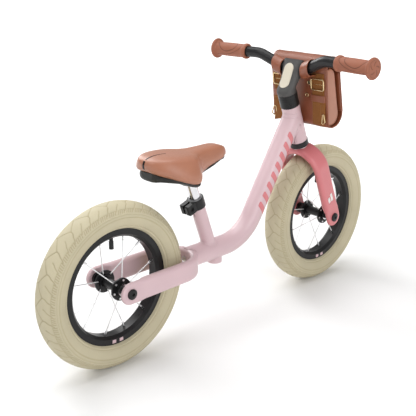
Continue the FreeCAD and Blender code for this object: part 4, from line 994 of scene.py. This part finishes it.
def shell_line():
    """Outer line of the bag body from the fold down the back, round the bottom and up the front."""
    top = arc(BAG_TOP_CENTRE, BAG_TOP_RADIUS, FOLD_ANGLE + 0.012, math.radians(168), 14)
    back = [(0.0, up) for up in np.linspace(110, 14, 25)]
    bottom = arc_through((0.0, 10.0), (4.5, -0.9), (20.0, -5.5), 12)
    turn = arc_through((20.0, -5.5), (40.6, 1.6), (49.9, 21.5), 16)[1:]
    lip = [(49.9, 22.6), (48.9, 23.6), (47.2, 24.6), (46.6, 26.5)]
    front = [(46.5 - 6.0 * t, 24.0 + 80.0 * t) for t in np.linspace(0.08, 1, 16)]
    return resample(np.vstack([top, back, bottom, turn, lip, front]), 2.2)


def flap_line():
    """Outer line of the flap from the fold over the top and down the front."""
    top = arc(BAG_TOP_CENTRE, BAG_TOP_RADIUS, FOLD_ANGLE - 0.012, FLAP_FRONT_ANGLE, 30)
    start = top[-1]
    front = [start + (np.array(FLAP_HEM) - start) * t for t in np.linspace(0.05, 1, 26)]
    return resample(np.vstack([top, front]), 2.5)


def edge_stitches(section, turn, reach, used=slice(None)):
    """Stitches along a section line, at the same distance from the middle on both sides."""
    normals = bag_normals(section, turn)
    rows = []
    for side in (-reach, reach):
        path = bag_place(section, side) - normals * STITCH_SINK
        rows.append(stitches(path[used], normals[used]))
    return rows


def bag_shell():
    line = shell_line()

    def sag(u, w):
        return 0.7 * np.sin(math.pi * u) * (1 - w ** 2) + 0.25 * np.sin(9 * w + 14 * u)

    part = bag_band(line, -1, BAG_HALF_WIDTH, BAG_SHEET, bulge=sag, columns=31)
    add_piece("bag_body", part, "brown_leather", "handlebar", "bag_shell")
    rows = edge_stitches(line, -1, BAG_HALF_WIDTH - 4.2)
    add_piece("bag_body_stitching", merged(rows), "brown_leather", "handlebar", material=THREAD)


def gusset_outline():
    """Closed outline of the side panel, narrower towards the top."""
    back = [(3.4, up) for up in np.linspace(115, 14, 18)]
    bottom = arc_through((3.4, 12.0), (7.5, 3.2), (19.0, -0.6), 10)
    front_low = arc_through((19.0, -0.6), (33.2, 5.5), (38.8, 22.0), 12)[1:]
    front = [(38.8 - 9.6 * t, 22.0 + 86.0 * t) for t in np.linspace(0.06, 1, 16)]
    top = arc_through((29.2, 109.0), (20.0, 117.5), (6.0, 117.0), 8)[1:]
    return np.vstack([back, bottom, front_low, front, top])


def bag_gussets():
    """Puffed side panels set in from the sheet's edges, with a deeper folded strip in front of each in the
    darker brown leather, as painted shade in the recess.
    """
    outer_face = BAG_HALF_WIDTH - GUSSET_RECESS
    outline = gusset_outline()
    middle = np.array([18.0, 58.0])
    rings = [(0.99, -3.2), (1.0, -2.4), (1.0, -1.4), (0.985, -0.5), (0.955, 0.0)]
    rings += [(scale, 1.6 * (1 - scale ** 3)) for scale in (0.88, 0.78, 0.64, 0.48, 0.3, 0.14, 0.03)]
    rows = [bag_place(middle + (outline - middle) * scale, outer_face + depth) for scale, depth in rings]
    panel = solid(rows)
    # The folded strip takes the darker brown leather as painted shade between the side panel and the front.
    fold = smooth_curve([(28.0, 112.0), (37.5, 20.0), (36.0, 4.0), (43.5, 20.0), (39.8, 70.0), (37.8, 104.0),
                         (33.0, 112.0)], 60, closed=True)
    rows = [bag_place(fold, outer_face - depth) for depth in (12.0, 14.5)]
    strip = solid(rows)
    add_piece("bag_side_panels", both(panel), "tan_leather", "handlebar", "bag_gussets")
    add_piece("bag_side_shaded_folds", both(strip), "brown_leather", "handlebar")


def bag_flap():
    line = flap_line()

    def puff(u, w):
        return (0.9 * np.sin(math.pi * u) ** 2 * (1 - w ** 2) + 0.2 * np.sin(8 * w - 11 * u)) * min(1, 9 * u)

    part = bag_band(line, 1, BAG_HALF_WIDTH + 0.4, BAG_SHEET, bulge=puff, columns=31)
    add_piece("bag_flap_cover", part, "brown_leather", "bag_flap", "bag_flap")
    rows = edge_stitches(line, 1, BAG_HALF_WIDTH - 3.8, slice(2, -1))
    hem = np.array([(FLAP_HEM[0] - 0.25, FLAP_HEM[1] + 4.0)] * 40)
    path = bag_place(hem) + np.outer(np.linspace(-1, 1, 40) * (BAG_HALF_WIDTH - 4), SIDE)
    rows.append(stitches(path, np.tile(BAG_FORWARD, (40, 1))))
    add_piece("bag_flap_stitching", merged(rows), "brown_leather", "bag_flap", material=THREAD)


def flap_front(up):
    """Forward position of the flap's outer face at a height."""
    start = BAG_TOP_CENTRE + BAG_TOP_RADIUS * at_angle(FLAP_FRONT_ANGLE)
    return start[0] + (start[1] - up) / (start[1] - FLAP_HEM[1]) * (FLAP_HEM[0] - start[0])


def flap_closure():
    """Leather tab with a round tip and its brass stud on the front."""
    line = np.array([(flap_front(up) + 2.9, up) for up in np.linspace(64, 11, 34)])

    def tip(u):
        return math.sqrt(max(1 - ((u - 0.8) / 0.205) ** 2, 0.03)) if u > 0.8 else 1.0

    tab = bag_band(line, 1, 12.0, 2.0, taper=tip)
    add_piece("flap_closing_tab", tab, "brown_leather", "bag_flap", "flap_tab")
    profile = [(0.1, 2.6), (2.4, 2.5), (3.9, 1.9), (4.5, 0.9), (4.4, 0.2), (3.2, -0.1), (3.0, -1.5),
               (0.1, -1.6)]
    base = bag_place(np.array([flap_front(36.0) + 3.1, 36.0]))
    add_piece("flap_stud_cap", lathe(profile, base, BAG_FORWARD), "brass", "bag_flap", "flap_stud")


def bar_path():
    """Left half of the handlebar's axis."""
    centre = np.array([BAR_CENTRE[0], 0.0, BAR_CENTRE[2]])
    return rounded([centre, BAR_CENTRE, BAR_RISE_END, BAR_END], BAR_BEND_RADIUS)


def bar_at(side):
    """Height and forward place of the handlebar's axis at a distance from the middle."""
    path = bar_path()
    return np.stack([np.interp(side, path[:, 1], path[:, 0]), np.interp(side, path[:, 1], path[:, 2])], -1)


def bag_loops():
    """Leather loops round the handlebar, following its rise, sewn to the back panel."""
    middle = (LOOP_INNER + LOOP_OUTER) / 2
    x, z = bar_at(middle)
    offset = np.array([x, 0.0, z]) - BAG_ORIGIN
    centre = np.array([offset @ BAG_FORWARD, offset @ BAG_UP])
    radius = BAR_RADIUS + LOOP_THICKNESS + 0.5
    low = centre - np.array([0.0, LOOP_SLACK])
    line = np.vstack([
        [(-0.4, centre[1] - 3.0)],
        arc(centre, radius, math.radians(14), math.pi, 22),
        arc(low, radius, math.pi, 1.5 * math.pi, 12),
        [(-4.0, low[1] - radius), (-0.9, low[1] - radius + 0.6)],
    ])
    line = resample(line, 1.6)
    half = (LOOP_OUTER - LOOP_INNER) / 2
    points, faces = bag_band(line, 1, half, LOOP_THICKNESS, middle, columns=13)
    shift = bar_at(points[:, 1]) - bar_at(middle)
    weight = np.clip(-((points - BAG_ORIGIN) @ BAG_FORWARD) / 8.0, 0, 1)
    points[:, 0] += shift[:, 0] * weight
    points[:, 2] += shift[:, 1] * weight
    add_piece("bag_bar_loops", both((points, faces)), "brown_leather", "handlebar", "bag_loops")


def bag_straps():
    """Webbing down the back: the right end lies flat, the left one hangs free and is cut at an angle."""
    parts = []
    for side in (-1, 1):
        heights = np.linspace(111, STRAP_END, 60)
        free = np.clip((50 - heights) / 52, 0, 1) ** 1.6
        wave = 0.5 + 0.35 * np.sin(heights / 7.0)
        away = 1.4 + wave + (6.5 * free if side > 0 else 1.0 * np.sin(np.clip(free, 0, 1) * math.pi))
        line = np.stack([-away, heights], 1)
        points, faces = bag_band(line, -1, STRAP_HALF_WIDTH, WEB_THICKNESS, side * STRAP_CENTRE, columns=13)
        if side > 0:
            up = (points - BAG_ORIGIN) @ BAG_UP
            slant = np.clip((30 - up) / 30, 0, 1) * (STRAP_CENTRE - points[:, 1]) * 0.28
            points += np.outer(slant, BAG_UP)
        parts.append((points, faces))
    add_piece("bag_webbing", merged(parts), "webbing", "handlebar", "bag_straps")
    tails = []
    for side in (-1, 1):
        heights = np.linspace(54, 9, 30)
        line = np.stack([-1.3 - 1.8 * np.sin((54 - heights) / 45 * math.pi), heights], 1)
        tails.append(bag_band(line, -1, 6.0, 1.4, side * TAIL_CENTRE, columns=7))
    add_piece("bag_webbing_tails", merged(tails), "webbing", "handlebar")


def bag_hardware():
    """Buckles, keepers, hooks and eyelets on both sides."""
    half = STRAP_HALF_WIDTH + 0.2
    corners = [(half, 77.0), (half, 99.8), (-half, 99.8), (-half, 77.0)]
    outline = rounded([(side + STRAP_CENTRE, up) for side, up in corners], 4.0, closed=True)
    path = np.array([bag_place(np.array([-3.6, up]), side) for side, up in outline])
    bar = [bag_place(np.array([-1.1, 88.4]), STRAP_CENTRE + side) for side in np.linspace(-half, half, 12)]
    frame_part = merged([tube(path, 1.5, closed=True), tube(bar, 0.9)])
    add_piece("buckle_frames", both(frame_part), "brass", "handlebar", "bag_buckles")

    reach = STRAP_HALF_WIDTH + 2.4
    outline = resample(rounded([(-reach, 0.0), (-reach, -4.0), (reach, -4.0), (reach, 0.0)], 2.2), 1.2)
    path = np.array([bag_place(np.array([forward, 59.0]), STRAP_CENTRE + side) for side, forward in outline])
    along = unit(np.gradient(outline, axis=0))
    normals = np.array([SIDE * b - BAG_FORWARD * a for a, b in along])
    keeper = band(path, normals, 7.0, 1.7, side=BAG_UP)
    add_piece("strap_keepers", both(keeper), "brown_leather", "handlebar", "bag_keepers")

    corners = [bag_place(np.array([forward, up]), side)
               for forward, up, side in ((-4.0, 36.5, 64.0), (-8.4, 12.5, 71.4), (-4.2, 3.5, 59.5))]
    hook = tube(rounded(corners, 2.6, closed=True), 1.3, sides=10, closed=True)
    add_piece("wire_hooks", both(hook), "brass", "handlebar", "bag_hooks")

    ring = arc((3.7, 0.3), 0.95, 0, TAU, 13)[:-1]
    # Black dishes in the eyelets stand for the shade in the holes: painted shade.
    hole = ((0.1, 0.3), (2.2, 0.28), (3.0, 0.1), (3.0, -0.6), (0.1, -0.7))
    rings, holes = [], []
    for up, side in ((89.0, 27.0), (62.5, 20.5)):
        base = bag_place(np.array([-0.3, up]), side)
        rings.append(lathe(ring, base, -BAG_FORWARD, 32, closed=True))
        holes.append(lathe(hole, base, -BAG_FORWARD, 24))
    add_piece("eyelet_rings", both(merged(rings)), "brass", "handlebar", "bag_eyelets")
    add_piece("eyelet_hole_shade", both(merged(holes)), "tube_rubber", "handlebar")


# Saddle.

COVER_STATIONS = (
    # x, half width, top, lower edge
    (-213.6, 5.0, 361.5, 356.0),
    (-212.6, 13.0, 365.5, 352.0),
    (-208.0, 26.0, 370.5, 348.0),
    (-198.0, 39.0, 373.0, 344.0),
    (-182.0, 52.0, 373.2, 337.0),
    (-163.0, 60.0, 372.3, 329.0),
    (-146.0, 63.5, 371.2, 322.5),
    (-131.0, 62.5, 370.2, 319.3),
    (-120.0, 55.0, 369.5, 320.0),
    (-110.0, 44.5, 369.0, 322.8),
    (-97.0, 33.5, 369.0, 328.0),
    (-75.0, 27.0, 369.3, 334.5),
    (-50.0, 24.3, 369.7, 340.0),
    (-38.0, 22.8, 369.3, 342.3),
    (-28.0, 20.2, 367.6, 344.4),
    (-20.0, 16.0, 364.6, 346.8),
    (-14.6, 11.0, 361.2, 349.4),
    (-12.0, 6.6, 358.2, 351.6),
    (-11.2, 3.0, 356.0, 353.4),
)
# Half of the cover's section: share of the half width, share of the height from the lower edge.
COVER_SECTION = (
    (0.0, 1.0), (0.35, 0.998), (0.58, 0.98), (0.705, 0.94), (0.785, 0.86), (0.87, 0.7), (0.95, 0.5),
    (0.995, 0.31), (0.985, 0.15), (0.93, 0.05), (0.82, 0.0), (0.6, 0.02), (0.0, 0.05),
)
PAD_CAP = 0.0012
PAD_PRESSURE = 4.0
PAD_VOXEL = 0.005
PAD_FRAMES = 20


def cover_surface(rows=90):
    """Grid of cover points: rows from rear to nose, columns round each section."""
    path = smooth_curve(COVER_STATIONS, rows)
    half = smooth_curve(COVER_SECTION, 44)
    loop = np.vstack([half, (half * np.array([-1.0, 1.0]))[-2:0:-1]])
    x, width, top, low = path.T
    y = width[:, None] * loop[:, 0]
    z = low[:, None] + (top - low)[:, None] * loop[:, 1]
    return np.stack([np.repeat(x[:, None], len(loop), 1), y, z], -1)


def settle(piece):
    """Cloth simulation: the skin swells over its filling, each point held within PAD_CAP."""
    mesh = piece.data
    surface = BVHTree.FromPolygons([vertex.co.copy() for vertex in mesh.vertices],
                                   [list(polygon.vertices) for polygon in mesh.polygons])
    remesh = piece.modifiers.new("remesh", "REMESH")
    remesh.mode = "VOXEL"
    remesh.voxel_size = PAD_VOXEL
    bpy.context.view_layer.objects.active = piece
    bpy.ops.object.modifier_apply(modifier="remesh")
    for vertex in piece.data.vertices:
        vertex.co = surface.find_nearest(vertex.co)[0]
    start = np.array([vertex.co for vertex in piece.data.vertices])
    cloth = piece.modifiers.new("cloth", "CLOTH")
    cloth.settings.use_pressure = True
    cloth.settings.uniform_pressure_force = PAD_PRESSURE
    cloth.settings.effector_weights.gravity = 0.0
    cloth.settings.tension_stiffness = 25.0
    cloth.settings.bending_stiffness = 3.0
    for step in range(1, PAD_FRAMES + 1):
        bpy.context.scene.frame_set(step)
    solved = piece.evaluated_get(bpy.context.evaluated_depsgraph_get())
    moved = np.empty(len(start) * 3)
    solved.data.vertices.foreach_get("co", moved)
    shift = moved.reshape(-1, 3) - start
    length = np.linalg.norm(shift, axis=1, keepdims=True)
    shift *= PAD_CAP * np.tanh(length / PAD_CAP) / np.maximum(length, 1e-9)
    piece.modifiers.remove(cloth)
    piece.data.vertices.foreach_set("co", (start + shift).ravel())
    piece.data.update()
    bpy.context.scene.frame_set(1)
    smooth = piece.modifiers.new("subdivision", "SUBSURF")
    smooth.levels = smooth.render_levels = 1
    bpy.ops.object.modifier_apply(modifier="subdivision")
    piece.data.shade_smooth()


def saddle_cover():
    piece = new_object("saddle_pad", solid(cover_surface()))
    settle(piece)
    dress(piece, "tan_leather", "saddle", "saddle_cover")
    return piece


def saddle_details(pad):
    """Black inlay down the rear and a fading row of dashes from it along the top."""
    surface = BVHTree.FromObject(pad, bpy.context.evaluated_depsgraph_get())

    def strip(sources, direction, lift, half_width, thickness, columns):
        path, normals = [], []
        for source in sources:
            hit, normal, _, _ = surface.ray_cast(Vector(source) * MM, Vector(direction))
            normals.append(np.array(normal))
            path.append(np.array(hit) / MM + normals[-1] * lift)
        return band(path, np.array(normals), half_width, thickness, columns=columns)

    rear = [(-260, 0, z) for z in np.linspace(353.5, 368.0, 14)]
    part = strip(rear, (1, 0, 0), 0.4, 2.6, 0.9, 5)
    add_piece("saddle_rear_inlay", part, "black_plastic", "saddle", material=INLAY_BLACK)
    parts = []
    for share in np.linspace(0, 1, 12):
        start, length, width = -207.0 + 44.0 * share, 3.3 - 1.2 * share, 1.7 - 1.0 * share
        dash = [(x, 0, 450) for x in np.linspace(start, start + length, 4)]
        parts.append(strip(dash, (0, 0, -1), 0.35, width, 0.6, 3))
    add_piece("saddle_top_dashes", merged(parts), "black_plastic", "saddle", material=INLAY_BLACK)


# Scene.

def aim(made, target):
    direction = Vector(target) - made.location
    made.rotation_euler = direction.to_track_quat("-Z", "Y").to_euler()


def area_light(name, place, target, size, power):
    light = bpy.data.lights.new(name, "AREA")
    light.shape = "DISK"
    light.size = size
    light.energy = power
    made = bpy.data.objects.new(name, light)
    bpy.context.scene.collection.objects.link(made)
    made.location = place
    made.visible_camera = False
    aim(made, target)


def white_floor(reach=16.0):
    """Plain floor that brightens away from the bike, so it meets the white surroundings without an edge."""
    floor_mesh = bpy.data.meshes.new("floor")
    corners = [(-reach, -reach, 0), (reach, -reach, 0), (reach, reach, 0), (-reach, reach, 0)]
    floor_mesh.from_pydata(corners, [], [(0, 1, 2, 3)])
    floor = bpy.data.objects.new("floor", floor_mesh)
    bpy.context.scene.collection.objects.link(floor)
    floor.location.z = cad_box[0].z
    finish = Finish("floor", 0.9, Specular_IOR_Level=0.1)
    finish.shader.inputs["Base Color"].default_value = (0.9, 0.9, 0.9, 1.0)
    finish.shader.inputs["Emission Color"].default_value = (1.0, 1.0, 1.0, 1.0)
    distance = finish.add("VectorMath", {0: finish.place}, operation="LENGTH").outputs["Value"]
    glow = finish.spread(distance, 0.0, 0.85, 0.9, 3.0)
    finish.tree.links.new(glow, finish.shader.inputs["Emission Strength"])
    floor_mesh.materials.append(finish.material)


def studio():
    """Soft lights from above, behind and the viewer's side in plain white surroundings."""
    white_floor()
    world = bpy.data.worlds.new("studio")
    bpy.context.scene.world = world
    world.use_nodes = True
    sky = world.node_tree.nodes["Background"].inputs
    sky["Color"].default_value = (1.0, 1.0, 1.0, 1.0)
    seen = node(world.node_tree, "LightPath").outputs["Is Camera Ray"]
    levels = {"Value": seen, "To Min": 0.4, "To Max": 1.0}
    strength = node(world.node_tree, "MapRange", levels).outputs["Result"]
    world.node_tree.links.new(strength, sky["Strength"])
    area_light("key", (-0.4, -3.0, 1.6), (0.0, 0.0, 0.25), 2.6, 40.0)
    area_light("top", (-0.2, 0.5, 3.0), (0.0, 0.0, 0.0), 3.0, 63.0)
    area_light("back", (0.5, 3.0, 2.0), (0.0, 0.0, 0.3), 2.0, 50.0)
    area_light("glint", (-2.2, 0.6, 2.0), (0.0, 0.0, 0.3), 0.6, 9.0)


def camera():
    """Three-quarter view from behind on the right side."""
    lens = bpy.data.cameras.new("camera")
    lens.lens = 68.30
    lens.sensor_width = 36.0
    made = bpy.data.objects.new("camera", lens)
    bpy.context.scene.collection.objects.link(made)
    place = (-1.0754, -1.0322, 0.7382)
    right = (0.71122, -0.70295, 0.00439)
    up = (0.22339, 0.23192, 0.94674)
    back = (-0.66653, -0.67236, 0.32198)
    made.matrix_world = Matrix.Translation(place) @ Matrix((right, up, back)).transposed().to_4x4()
    bpy.context.scene.camera = made


dress_cad_nodes()
tyres()
rim_marks()
frame_welds()
stays_and_fork()
tube_marks()
fork_marks()
limiter_socket()
grips()
bag_shell()
bag_gussets()
bag_flap()
flap_closure()
bag_loops()
bag_straps()
bag_hardware()
saddle_details(saddle_cover())
studio()
camera()
bpy.context.scene.view_settings.view_transform = "Standard"
